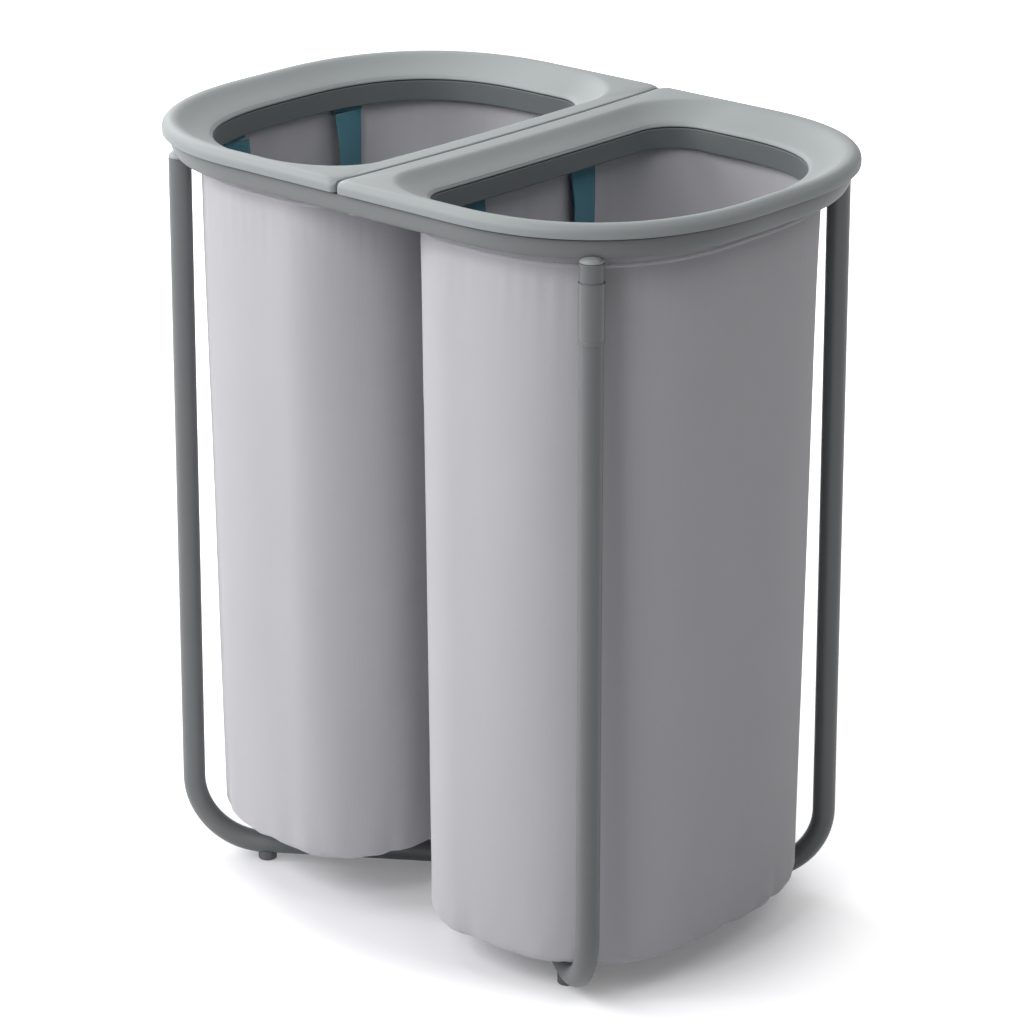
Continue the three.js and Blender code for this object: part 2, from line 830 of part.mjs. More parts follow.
function makeSleeve(heading) {
  const inside = leg.radius + clearance;
  const top = -sleeve.belowTop;
  const shape = new THREE.Shape();
  shape.absarc(0, 0, inside + sleeve.wall, 0, 2 * Math.PI, false);
  const bore = new THREE.Path();
  bore.absarc(0, 0, inside, 0, 2 * Math.PI, true);
  shape.holes.push(bore);
  return new THREE.ExtrudeGeometry(shape, {
    depth: sleeve.length, bevelEnabled: false, curveSegments: counts.arc, steps: 1,
  }).translate(0, 0, top - sleeve.length).applyMatrix4(legTopFrame(heading));
}
const sleeved = corners.find(({ name }) => name === 'front_right');
addPiece('front_leg_sleeve', makeSleeve(sleeved.heading), finishes.sleeve());

// Bar under the seam, with its two screws
const barTop = rebateFloor;
const barReach = overall.halfWidth - ring.insideInset - clearance;
const tenonTop = barTop - bar.tenonBelow;
const tenonReach = barReach + bar.tenonLength;
const barScrewAt = barReach + bar.tenonLength / 2;
const barScrewTop = tenonTop - screw.radius;

function tenon(grow) {
  return boxBetween(
    new THREE.Vector3(-bar.tenonHalfWidth - grow, -tenonReach - grow, tenonTop - bar.tenonThickness - grow),
    new THREE.Vector3(bar.tenonHalfWidth + grow, tenonReach + grow, tenonTop + grow),
  );
}

function barScrewHoles() {
  return [-1, 1].map((side) => rod(plug.holeRadius, barScrewTop + clearance - ringBottom + overrun)
    .translate(0, side * barScrewAt, ringBottom - overrun));
}

function makeBar() {
  const shape = new THREE.Shape([
    new THREE.Vector2(-bar.halfWidth, 0),
    new THREE.Vector2(-bar.halfWidth, bar.edge - bar.depth),
    new THREE.Vector2(bar.edge - bar.halfWidth, -bar.depth),
    new THREE.Vector2(bar.halfWidth - bar.edge, -bar.depth),
    new THREE.Vector2(bar.halfWidth, bar.edge - bar.depth),
    new THREE.Vector2(bar.halfWidth, 0),
  ]);
  const body = new THREE.ExtrudeGeometry(shape, { depth: 2 * barReach, bevelEnabled: false, steps: 1 });
  body.translate(0, 0, -barReach).rotateX(Math.PI / 2).translate(0, 0, barTop);
  return cut(join([body, tenon(0)]), barScrewHoles());
}
addPiece('centre_bar', makeBar(), finishes.ring());

[['left', 1], ['right', -1]].forEach(([name, side]) => {
  const headTop = ringBottom - clearance;
  const geometry = turned([
    { r: 0, z: headTop - screw.headHeight },
    { r: screw.headRadius, z: headTop - screw.headHeight },
    { r: screw.headRadius, z: headTop },
    { r: screw.radius, z: headTop },
    { r: screw.radius, z: barScrewTop },
    { r: 0, z: barScrewTop },
  ]).translate(0, side * barScrewAt, 0);
  addPiece(`centre_bar_screw_${name}`, geometry, finishes.screw());
});

// Ring
function makeRing() {
  const face = ring.faceInsetShares.map((share, i) => [
    ring.inset + (ring.bottomInset - ring.inset) * share,
    ringTop - ring.depth * ring.faceDepthShares[i],
  ]);
  const section = [
    ...face,
    [ring.insideInset - ring.bottomChamfer, ringBottom],
    [ring.insideInset, ringBottom + ring.bottomChamfer],
    [ring.insideInset, rebateFloor],
    [ring.rebateInset, rebateFloor],
    [ring.rebateInset, ringTop],
  ];
  const body = loftLoops(section.map(([inset, z]) => atHeight(ringLoop(inset), z)), true);
  return cut(body, [...ringCuts, tenon(clearance), ...barScrewHoles()]);
}
addPiece('top_ring', makeRing(), finishes.ring());

// Hub
function hubTube(heading, radius, from, to) {
  const tube = rod(radius, to - from).translate(0, 0, from);
  return tube.rotateY(Math.PI / 2).rotateZ(heading).translate(0, 0, tubeHeight);
}

function grubScrewAt(heading, radius, low, high) {
  const place = outAt(heading, grub.along, low);
  return rod(radius, high - low).translate(place.x, place.y, place.z);
}

function makeHub() {
  const socket = leg.radius + clearance + hub.socketWall;
  const middle = rod(hub.radius, 2 * hubHalfHeight).translate(0, 0, tubeHeight - hubHalfHeight);
  const sockets = corners.map(({ heading }) => hubTube(heading, socket, hub.tubeStart, hub.reach));
  const bores = corners.map(({ heading }) => hubTube(
    heading, leg.radius + clearance, hub.tubeStart - clearance, hub.reach + overrun,
  ));
  const recess = rod(hub.coverRadius, hub.coverDepth + overrun).translate(0, 0, hubTop - hub.coverDepth);
  const grubHoles = corners.map(({ heading }) => grubScrewAt(
    heading, grub.radius + clearance, tubeHeight - socket - overrun, tubeHeight,
  ));
  return cut(join([middle, ...sockets]), [...bores, recess, ...grubHoles]);
}
addPiece('hub', makeHub(), finishes.plug());

function makeHubCover() {
  const radius = hub.coverRadius - clearance;
  const low = hubTop - hub.coverDepth + clearance;
  const edge = low + hub.coverDepth;
  const profile = [{ r: 0, z: low }, { r: radius, z: low }];
  for (let i = 0; i <= counts.bead; i += 1) {
    const angle = (i / counts.bead) * (Math.PI / 2);
    profile.push({ r: radius * Math.cos(angle), z: edge + hub.coverDome * Math.sin(angle) });
  }
  profile[profile.length - 1].r = 0;
  return turned(profile);
}
addPiece('hub_cover', makeHubCover(), finishes.ring());

corners.forEach(({ name, heading }) => {
  const low = leg.underside - hub.socketWall;
  const high = leg.underside - clearance;
  addPiece(`${name}_hub_screw`, grubScrewAt(heading, grub.radius, low, high), finishes.screw());
});

export default hamper;
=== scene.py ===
"""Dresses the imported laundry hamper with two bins: smooth shells, cloth bags, webbing and finishes.

Lengths are metres. X runs along the hamper from the rear bin to the front bin, Y along the seam
between the bins, and Z up from the floor.
"""

import logging
import math
from abc import ABC, abstractmethod
from dataclasses import dataclass, replace
from enum import Enum
from functools import cache
from typing import Sequence

import bpy
import numpy as np
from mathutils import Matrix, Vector


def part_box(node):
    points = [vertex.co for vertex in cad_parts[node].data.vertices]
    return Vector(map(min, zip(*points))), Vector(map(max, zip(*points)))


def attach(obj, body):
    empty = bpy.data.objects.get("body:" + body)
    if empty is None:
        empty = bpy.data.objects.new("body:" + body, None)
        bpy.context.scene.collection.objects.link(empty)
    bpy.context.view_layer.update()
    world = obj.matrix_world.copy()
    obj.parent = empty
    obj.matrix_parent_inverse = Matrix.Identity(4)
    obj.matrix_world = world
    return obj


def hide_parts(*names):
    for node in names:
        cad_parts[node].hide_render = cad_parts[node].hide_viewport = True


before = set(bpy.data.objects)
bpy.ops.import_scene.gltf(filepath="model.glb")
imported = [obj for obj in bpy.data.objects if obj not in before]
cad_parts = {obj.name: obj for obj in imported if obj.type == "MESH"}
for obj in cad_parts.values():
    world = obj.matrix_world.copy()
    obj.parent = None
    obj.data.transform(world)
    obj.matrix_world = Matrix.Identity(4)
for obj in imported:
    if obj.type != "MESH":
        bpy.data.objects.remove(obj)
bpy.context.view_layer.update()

MM = 0.001
CLEARANCE = 0.3 * MM
OVERRUN = 2 * MM
QUARTER = math.pi / 2
UP = np.array([0.0, 0.0, 1.0])
WHITE = (1.0, 1.0, 1.0, 1.0)
LOG = logging.getLogger("hamper")

Array = np.ndarray
Pair = tuple[float, float]
Object = bpy.types.Object
Tree = bpy.types.NodeTree
Node = bpy.types.Node
Socket = bpy.types.NodeSocket

BUMP_STRENGTH = 0.6

# Steps along each stretch of a bin's outline, for a fineness of 1
END_STEPS = 6
CORNER_STEPS = 44
SIDE_STEPS = 8
SEAM_CORNER_STEPS = 18
SEAM_STEPS = 20


@cache
def node_box(node: str) -> tuple[Vector, Vector]:
    """The low and high corners of a node's box, worked out once."""
    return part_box(node)


def node_middle(node: str) -> list[float]:
    """The middle of a node's box, along X, Y and Z."""
    return [(low + high) / 2 for low, high in zip(*node_box(node))]


class Bin(Enum):
    """The two bins. The value is the side of the seam that the bin lies on, along X."""

    REAR = -1
    FRONT = 1

    @property
    def title(self) -> str:
        """The name that starts the bin's nodes and bodies."""
        return self.name.lower()


class Wall(Enum):
    """The two walls of a bag that carry a handle."""

    SEAM = "seam"
    END = "end"


class Corner(Enum):
    """The four legs. The value starts the names of the leg's nodes."""

    FRONT_LEFT = "front_left"
    FRONT_RIGHT = "front_right"
    REAR_LEFT = "rear_left"
    REAR_RIGHT = "rear_right"


class Cut(Enum):
    """What a Boolean does with its tools."""

    JOIN = "UNION"
    REMOVE = "DIFFERENCE"


# Mesh making


def together(*values: Array | float) -> Array:
    """Values as the last axis of one array, each first spread to the shape that they share."""
    return np.stack(np.broadcast_arrays(*values), axis=-1)


def turns(steps: int) -> Array:
    """Angles at equal steps of a full turn, from 0."""
    return np.linspace(0, 2 * math.pi, steps, endpoint=False)


def closed(points: Array) -> Array:
    """Points with the first one again at the end."""
    return np.concatenate([points, points[:1]])


def way_along(points: Array) -> Array:
    """The way from the first of n × 2 points to each one: the steps' lengths, added up."""
    return np.concatenate([[0.0], np.cumsum(np.hypot(*np.diff(points, axis=0).T))])


@dataclass
class Patch:
    """Points and faces that go into a piece's mesh.

    Args:
        points: n × 3 array.
        faces: arrays of vertex indices, each for faces with the same number of corners.
        pattern: for each array of faces, the pattern coordinates of its corners.
        finishes: for each array of faces, the material index of each face.
    """

    points: Array
    faces: list[Array]
    pattern: list[Array]
    finishes: list[Array]

    def volume(self) -> float:
        """Six times the volume inside.

        Returns:
            The triple products of each face's fan, summed, which is below 0 for inward faces.
        """
        total = 0.0
        for group in self.faces:
            corners = self.points[group]
            for turn in range(1, group.shape[1] - 1):
                across = np.cross(corners[:, turn], corners[:, turn + 1])
                total += float(np.einsum("ij,ij->i", corners[:, 0], across).sum())
        return total


@dataclass
class Surface:
    """A grid of points, rows by columns, whose columns close on themselves.

    Args:
        points: rows × columns × 3 array.
        wrap: the last row joins the first one. Otherwise both are closed by fans.
        pattern: coordinates in metres along the surface, with one more column than points, and one
            more row where the rows wrap.
        bands: material index of the faces after each row.
    """

    points: Array
    wrap: bool = False
    pattern: Array | None = None
    bands: Array | None = None

    def patch(self) -> Patch:
        """The grid's faces, by index arithmetic on whole arrays.

        Returns:
            The patch, with a fan round each open end.
        """
        rows, columns = self.points.shape[:2]
        steps = rows if self.wrap else rows - 1
        row, column = np.arange(steps)[:, None], np.arange(columns)[None, :]
        corners = [(row, column), (row, column + 1), (row + 1, column + 1), (row + 1, column)]
        faces = np.stack([(r % rows) * columns + c % columns for r, c in corners], axis=-1)
        pattern = self.pattern
        if pattern is None:
            pattern = np.zeros((rows + 1, columns + 1, 2))
        places = np.stack([pattern[r, c] for r, c in corners], axis=-2)
        bands = np.zeros(steps, dtype=int) if self.bands is None else self.bands[:steps]
        patch = Patch(
            self.points.reshape(-1, 3), [faces.reshape(-1, 4)], [places.reshape(-1, 4, 2)],
            [np.repeat(bands, columns)],
        )
        if not self.wrap:
            self.add_fans(patch, pattern, bands)
        return patch

    def add_fans(self, patch: Patch, pattern: Array, bands: Array) -> None:
        """Closes the first and last rows, each with triangles round the mean of its points.

        Args:
            patch: what the triangles are added to.
            pattern: the grid's pattern coordinates.
            bands: the material index of each band of faces.
        """
        rows, columns = self.points.shape[:2]
        step = np.arange(columns)
        after = (step + 1) % columns
        for end, (row, first, second) in enumerate(((0, after, step), (rows - 1, step, after))):
            middle = np.full(columns, len(patch.points))
            start = row * columns
            patch.points = np.concatenate([patch.points, self.points[row].mean(axis=0)[None]])
            patch.faces.append(np.stack([start + first, start + second, middle], axis=-1))
            edge = pattern[row, :columns]
            centre = np.broadcast_to(edge.mean(axis=0), edge.shape)
            patch.pattern.append(np.stack([edge[first], edge[second], centre], axis=1))
            patch.finishes.append(np.full(columns, bands[-end]))

    def moved(self, place: Sequence[float], axes: Sequence[Array] | None = None) -> "Surface":
        """The surface carried to a place, and turned first where three directions are given as its axes."""
        points = self.points if axes is None else self.points @ np.stack(axes)
        return replace(self, points=points + np.asarray(place))


def make_mesh(name: str, parts: Sequence[Surface | Patch], sharp: float = 40.0) -> Object:
    """Joins closed parts into one smooth mesh object whose faces point outwards.

    Args:
        name: the piece's name.
        parts: closed surfaces or patches, each of which is turned outwards by its own volume.
        sharp: edges that bend by more than this many degrees stay sharp.

    Returns:
        The new object, linked to the scene.
    """
    points, faces, places, finishes = [], [], [], []
    start = 0
    for part in parts:
        patch = part.patch() if isinstance(part, Surface) else part
        turn = slice(None, None, -1 if patch.volume() < 0 else 1)
        points.append(patch.points)
        for group, pattern, finish in zip(patch.faces, patch.pattern, patch.finishes):
            faces += (group[:, turn] + start).tolist()
            places.append(pattern[:, turn].ravel())
            finishes.append(finish)
        start += len(patch.points)
    mesh = bpy.data.meshes.new(name)
    mesh.from_pydata(np.concatenate(points), [], faces)
    mesh.polygons.foreach_set("material_index", np.concatenate(finishes).astype(np.int32))
    mesh.uv_layers.new(name="pattern").data.foreach_set("uv", np.concatenate(places).astype(np.float32))
    smooth(mesh, sharp)
    return add_object(name, mesh)


def add_object(name: str, data: bpy.types.ID) -> Object:
    """Makes an object from its data and links it to the scene.

    Args:
        name: the object's name.
        data: a mesh, light or camera.

    Returns:
        The object.
    """
    made = bpy.data.objects.new(name, data)
    bpy.context.scene.collection.objects.link(made)
    return made


def smooth(mesh: bpy.types.Mesh, sharp: float) -> None:
    """Shades a mesh smoothly but for its sharp edges.

    Args:
        mesh: the mesh.
        sharp: edges that bend by more than this many degrees stay sharp.
    """
    mesh.update()
    mesh.shade_smooth()
    mesh.set_sharp_from_angle(angle=math.radians(sharp))


def carve(body: Object, tools: Sequence[Surface], cut: Cut) -> Object:
    """Joins closed surfaces to a body or removes them from it.

    Args:
        body: the object that stays.
        tools: closed surfaces.
        cut: what to do with them.

    Returns:
        The body, with the result in its mesh.
    """
    helpers = [make_mesh(f"{body.name}_tool", [tool]) for tool in tools]
    for helper in helpers:
        boolean = body.modifiers.new(helper.name, "BOOLEAN")
        boolean.operation = cut.value
        boolean.solver = "EXACT"
        boolean.object = helper
    graph = bpy.context.evaluated_depsgraph_get()
    mesh = bpy.data.meshes.new_from_object(body.evaluated_get(graph))
    body.modifiers.clear()
    body.data = mesh
    smooth(mesh, 30)
    for helper in helpers:
        bpy.data.objects.remove(helper)
    return body


def arc(centre: Pair, radius: float, start: float, end: float, steps: int = 6) -> list:
    """Points of a circular arc, by the cosine and sine of equal steps of its angle.

    Args:
        centre: the middle of the circle.
        radius: its radius.
        start: first angle, in degrees.
        end: last angle, in degrees.
        steps: number of steps.

    Returns:
        A list of (x, y) points.
    """
    angle = np.radians(np.linspace(start, end, steps + 1))
    return together(centre[0] + radius * np.cos(angle), centre[1] + radius * np.sin(angle)).tolist()


def lathe(profile: Sequence[Pair], steps: int = 48) -> Surface:
    """A body turned round Z: each profile point's radius times the cosine and sine of the angle.

    Args:
        profile: (radius, height) points up the side. Discs close both ends.
        steps: points round the axis.

    Returns:
        The closed surface.
    """
    angle = turns(steps)
    radius, height = np.array(profile).T[..., None]
    return Surface(together(radius * np.cos(angle), radius * np.sin(angle), height))


def rod(radius: float, low: float, high: float, edge: float = 0.0) -> Surface:
    """A round rod along Z.

    Args:
        radius: of the rod.
        low: height of its lower end.
        high: height of its upper end.
        edge: radius of the rounded edges of its ends, or 0 for sharp ones.

    Returns:
        The closed surface.
    """
    if not edge:
        return lathe([(radius, low), (radius, high)])
    inner = radius - edge
    return lathe([*arc((inner, low + edge), edge, -90, 0, 4), *arc((inner, high - edge), edge, 0, 90, 4)])


def rounded(half_width: float, half_depth: float, radius: float, steps: int = 4) -> Array:
    """The outline of a rectangle with round corners: four arcs, joined by straight runs.

    Args:
        half_width: half the size along the first coordinate.
        half_depth: half the size along the second coordinate.
        radius: of the corners.
        steps: in each corner.

    Returns:
        n × 2 points, anticlockwise.
    """
    across, up = half_width - radius, half_depth - radius
    centres = [(across, up), (-across, up), (-across, -up), (across, -up)]
    return np.concatenate([
        arc(centre, radius, 90 * turn, 90 * (turn + 1), steps) for turn, centre in enumerate(centres)
    ])


def strap_section(width: float, thickness: float, edge: float, steps: int) -> tuple[Array, Array]:
    """The section of a strap: a flat rounded rectangle, whose two long sides have several steps.

    Args:
        width: of the strap.
        thickness: of the strap.
        edge: radius of its corners.
        steps: along each long side.

    Returns:
        n × 2 points, and the way round to each of them and on to the first one.
    """
    corners = rounded(width / 2, thickness / 2, edge)
    long_sides = (4, 14)
    section = np.concatenate([
        np.linspace(start, end, steps if index in long_sides else 1, endpoint=False)
        for index, (start, end) in enumerate(zip(corners, np.roll(corners, -1, axis=0)))
    ])
    return section, way_along(closed(section))


def ease(share: Array) -> Array:
    """A smooth step: three squares less two cubes of a share that is held between 0 and 1."""
    held = np.clip(share, 0, 1)
    return held * held * (3 - 2 * held)


def loft(loops: Sequence[Array], wrap: bool, bands: Array | None = None) -> Surface:
    """A surface through loops of points, with pattern coordinates along and across them.

    The first coordinate is the way travelled round the longest loop, and the second the way
    travelled from loop to loop.

    Args:
        loops: n × 3 arrays with the same number of points.
        wrap: the last loop joins the first one.
        bands: material index of the faces after each loop.

    Returns:
        The surface.
    """
    points = np.stack(loops)
    rounds = np.concatenate([points, points[:, :1]], axis=1)
    around = np.linalg.norm(np.diff(rounds, axis=1), axis=-1)
    along = np.concatenate([[0.0], np.cumsum(around[np.argmax(around.sum(axis=1))])])
    between = np.linalg.norm(np.diff(closed(points), axis=0), axis=-1).max(axis=1)
    across = np.concatenate([[0.0], np.cumsum(between)])
    return Surface(points, wrap, together(along, across[:, None]), bands)


# Outlines of the bins and the ring


@dataclass(frozen=True)
class Loop:
    """Points of an outline, anticlockwise, with how far each belongs to the seam's side (0 to 1)."""

    x: Array
    y: Array
    seam: Array

    def at(self, height: Array | float) -> Array:
        """The loop as n × 3 points at one height, or at a height for each point."""
        return together(self.x, self.y, height)

    def outward(self) -> Array:
        """Unit normals: the step from the point before to the point after, turned by a quarter.

        Returns:
            n × 2 vectors.
        """
        step_x = np.roll(self.x, -1) - np.roll(self.x, 1)
        step_y = np.roll(self.y, -1) - np.roll(self.y, 1)
        size = np.hypot(step_x, step_y)
        return together(step_y / size, -step_x / size)

    def travelled(self) -> Array:
        """The way along the loop to each point and on to the first one, as n + 1 lengths."""
        return way_along(closed(together(self.x, self.y)))

    def pushed(self, amount: Array | float) -> "Loop":
        """The loop moved outwards along its normals by one amount, or by one for each point."""
        normal = self.outward()
        return replace(self, x=self.x + normal[:, 0] * amount, y=self.y + normal[:, 1] * amount)

    def spaced(self, count: int) -> "Loop":
        """The loop with points at equal steps of the way along it.

        Args:
            count: how many points.

        Returns:
            The new loop.
        """
        way = self.travelled()
        wanted = np.linspace(0, way[-1], count, endpoint=False)
        return Loop(*(np.interp(wanted, way, closed(values)) for values in (self.x, self.y, self.seam)))


def superellipse(centre: Pair, radii: Pair, power: float, start: float, steps: int) -> Array:
    """A quarter of a superellipse: cosine and sine, each raised to two over the power, times the radii.

    Args:
        centre: its middle.
        radii: along X and along Y.
        power: 2 for an ellipse, and more for a squarer corner.
        start: the first angle, in radians.
        steps: number of equal steps of the angle.

    Returns:
        (steps + 1) × 2 points with Y above the centre.
    """
    angle = start + np.linspace(0, QUARTER, steps + 1)
    cosine, sine = np.cos(angle), np.sin(angle)
    x = centre[0] + radii[0] * np.sign(cosine) * np.abs(cosine) ** (2 / power)
    y = centre[1] + radii[1] * np.abs(sine) ** (2 / power)
    return together(x, y)


@dataclass(frozen=True)
class Outline:
    """One bin seen from above, written for the front bin.

    It has two large corners away from the seam and two smaller ones beside it, whose radii are
    along X and across it. It reaches from from_seam to to_end along X, and to_side both ways across.
    """

    from_seam: float
    to_end: float
    to_side: float
    seam_along: float
    seam_across: float
    corner_along: float
    corner_across: float
    corner_power: float

    def inset(self, amount: float, seam_amount: float | None = None) -> "Outline":
        """The outline drawn in.

        Args:
            amount: how far, or less than 0 to grow it.
            seam_amount: how far beside the seam, where that differs.

        Returns:
            The new outline.
        """
        beside = amount if seam_amount is None else seam_amount
        return replace(
            self,
            from_seam=self.from_seam + beside,
            to_end=self.to_end - amount,
            to_side=self.to_side - amount,
            seam_along=self.seam_along - beside,
            seam_across=self.seam_across - amount,
            corner_along=self.corner_along - amount,
            corner_across=self.corner_across - amount,
        )

    def tapered(self, share: float) -> "Outline":
        """The outline narrowed about the middle of its bin.

        Args:
            share: what each size is multiplied by.

        Returns:
            The new outline.
        """
        middle = (self.from_seam + self.to_end) / 2
        sizes = {name: value * share for name, value in vars(self).items() if name != "corner_power"}
        shift = middle * (1 - share)
        sizes["from_seam"] += shift
        sizes["to_end"] += shift
        return replace(self, **sizes)

    def mixed(self, other: "Outline", share: float) -> "Outline":
        """The outline between this one (share 0) and another (share 1)."""
        own, theirs = vars(self), vars(other)
        return Outline(**{name: own[name] + (theirs[name] - own[name]) * share for name in own})

    def front(self, fineness: float = 1.0) -> Array:
        """Half of the end and the large corner beside it, from the middle of the end round.

        Args:
            fineness: multiplies the number of points.

        Returns:
            n × 2 points.
        """
        corner = superellipse(
            (self.to_end - self.corner_along, self.to_side - self.corner_across),
            (self.corner_along, self.corner_across), self.corner_power, 0.0, round(CORNER_STEPS * fineness),
        )
        run = np.linspace([self.to_end, 0.0], corner[0], round(END_STEPS * fineness) + 1)[:-1]
        return np.concatenate([run, corner])

    def loop(self, side: Bin, fineness: float = 1.0) -> Loop:
        """Points round the outline, in the same order for every outline of the same fineness.

        Args:
            side: the bin that the loop is for.
            fineness: multiplies the number of points.

        Returns:
            The loop, anticlockwise.
        """
        front = self.front(fineness)
        small = superellipse(
            (self.from_seam + self.seam_along, self.to_side - self.seam_across),
            (self.seam_along, self.seam_across), 2.0, QUARTER, round(SEAM_CORNER_STEPS * fineness),
        )
        side_run = np.linspace(front[-1], small[0], round(SIDE_STEPS * fineness) + 1)[1:-1]
        seam_run = np.linspace(small[-1], [self.from_seam, 0.0], round(SEAM_STEPS * fineness) + 1)[1:]
        upper = np.concatenate([front, side_run, small, seam_run])
        plain = len(front) + len(side_run)
        seam = np.concatenate([np.zeros(plain), np.linspace(0, 1, len(small)), np.ones(len(seam_run))])
        x = np.concatenate([upper[:, 0], upper[-2:0:-1, 0]]) * side.value
        y = np.concatenate([upper[:, 1], -upper[-2:0:-1, 1]])
        seam = np.concatenate([seam, seam[-2:0:-1]])
        return Loop(x[::side.value], y[::side.value], seam[::side.value])

    def whole(self) -> Loop:
        """The large corner mirrored to all four corners of the hamper, joined by straight runs.

        Returns:
            The loop round both bins.
        """
        front = self.front()
        run = np.linspace(front[-1], [0.0, self.to_side], SEAM_STEPS + 1)[1:]
        quarter = np.concatenate([front, run])
        half = np.concatenate([quarter, quarter[-2::-1] * [-1, 1]])
        full = np.concatenate([half, half[-2:0:-1] * [1, -1]])
        return Loop(full[:, 0], full[:, 1], np.zeros(len(full)))

    def end_at(self, y: Array) -> Array:
        """How far along the end wall reaches, from the superellipse's equation.

        Args:
            y: places across the wall.

        Returns:
            The distance from the middle of the hamper at each place.
        """
        reach = np.maximum(np.abs(y) - (self.to_side - self.corner_across), 0) / self.corner_across
        along = (1 - reach ** self.corner_power) ** (1 / self.corner_power)
        return self.to_end - self.corner_along * (1 - along)


# Finishes


def linear(hex_colour: str, share: float = 1.0) -> tuple[float, float, float, float]:
    """An sRGB colour as linear red, green, blue and alpha.

    Args:
        hex_colour: six hexadecimal digits after a hash.
        share: multiplies the colour's light.

    Returns:
        Four numbers.
    """
    parts = [int(hex_colour[i:i + 2], 16) / 255 for i in (1, 3, 5)]
    red, green, blue = (p / 12.92 if p <= 0.04045 else ((p + 0.055) / 1.055) ** 2.4 for p in parts)
    return red * share, green * share, blue * share, 1.0


def set_inputs(node: Node, values: dict) -> None:
    """Sets a node's inputs, each by its name or number."""
    for socket, value in values.items():
        node.inputs[socket].default_value = value


def new_material(name: str, values: dict) -> tuple[bpy.types.Material, Node]:
    """Makes a material of one Principled shader.

    Args:
        name: the material's name.
        values: the shader's input name to its value.

    Returns:
        The material and the shader.
    """
    made = bpy.data.materials.new(name)
    made.use_nodes = True
    shader = made.node_tree.nodes["Principled BSDF"]
    set_inputs(shader, values)
    return made, shader


def add_node(
    tree: Tree, kind: str, values: dict | None = None, links: dict | None = None, **settings,
) -> Node:
    """Adds a node to a tree.

    Args:
        tree: the material's node tree.
        kind: the node's type.
        values: input name or number to its value.
        links: input name or number to the output that feeds it.
        settings: the node's own properties.

    Returns:
        The node.
    """
    node = tree.nodes.new(kind)
    for name, value in settings.items():
        setattr(node, name, value)
    set_inputs(node, values or {})
    for socket, source in (links or {}).items():
        tree.links.new(source, node.inputs[socket])
    return node


def band_scale(period: float) -> float:
    """The wave texture's scale for bands that repeat once in each period, in metres."""
    return math.pi / 10 / period


@dataclass(frozen=True)
class Finish(ABC):
    """What a real surface is made of, and how it was made."""

    name: str
    colour: str
    roughness: float
    ior: float

    @abstractmethod
    def dress(self, tree: Tree, shader: Node) -> None:
        """Adds the finish's own pattern to its shader.

        Args:
            tree: the material's node tree.
            shader: its shader.
        """

    def tint(self, tree: Tree, shader: Node, by: Socket, spread: float) -> None:
        """Varies the base colour's light by a pattern.

        Args:
            tree: the material's node tree.
            shader: its shader.
            by: the pattern, from 0 to 1.
            spread: the share by which the light falls and rises.
        """
        colours = {6: linear(self.colour, 1 - spread), 7: linear(self.colour, 1 + spread)}
        mix = add_node(tree, "ShaderNodeMix", colours, {0: by}, data_type="RGBA")
        tree.links.new(mix.outputs[2], shader.inputs["Base Color"])

    def emboss(self, tree: Tree, shader: Node, by: Socket, depth: float) -> None:
        """Raises a pattern from the surface by a depth in metres."""
        height = {"Strength": BUMP_STRENGTH, "Distance": depth}
        bump = add_node(tree, "ShaderNodeBump", height, {"Height": by})
        tree.links.new(bump.outputs["Normal"], shader.inputs["Normal"])

    def cloud_gloss(self, tree: Tree, shader: Node, by: Socket, less: float, more: float) -> None:
        """Varies the roughness by a pattern.

        Args:
            tree: the material's node tree.
            shader: its shader.
            by: the pattern, from 0 to 1.
            less: how far below the finish's own roughness it starts.
            more: how far above it ends.
        """
        ends = {"To Min": self.roughness - less, "To Max": self.roughness + more}
        spread = add_node(tree, "ShaderNodeMapRange", ends, {"Value": by})
        tree.links.new(spread.outputs["Result"], shader.inputs["Roughness"])

    def material(self) -> bpy.types.Material:
        """The finish as a material, made once.

        Returns:
            The material, with the finish's pattern.
        """
        found = bpy.data.materials.get(self.name)
        if found:
            return found
        own = {"Base Color": linear(self.colour), "Roughness": self.roughness, "IOR": self.ior}
        made, shader = new_material(self.name, own)
        self.dress(made.node_tree, shader)
        return made


@dataclass(frozen=True)
class MouldedPlastic(Finish):
    """Injection-moulded plastic: an even satin skin with a fine spark-eroded grain.

    The grain of the mould is about 0.4 mm, too fine to show, so it is drawn 1.1 mm wide and faint.
    Slow flow marks shift the tone and the gloss by a few hundredths.
    """

    grain: float = 1.1 * MM
    grain_depth: float = 0.02 * MM
    flow: float = 60 * MM
    flow_share: float = 0.04
    flow_gloss: float = 0.05

    def dress(self, tree: Tree, shader: Node) -> None:
        """Adds flow marks to the colour and the roughness, and grain as a bump."""
        place = add_node(tree, "ShaderNodeTexCoord").outputs["Object"]
        flow, grain = (
            add_node(
                tree, "ShaderNodeTexNoise", {"Scale": 1 / size, "Detail": detail}, {"Vector": place},
            ).outputs["Fac"]
            for size, detail in ((self.flow, 3.0), (self.grain, 2.0))
        )
        self.tint(tree, shader, flow, self.flow_share)
        self.cloud_gloss(tree, shader, flow, self.flow_gloss, self.flow_gloss)
        self.emboss(tree, shader, grain, self.grain_depth)


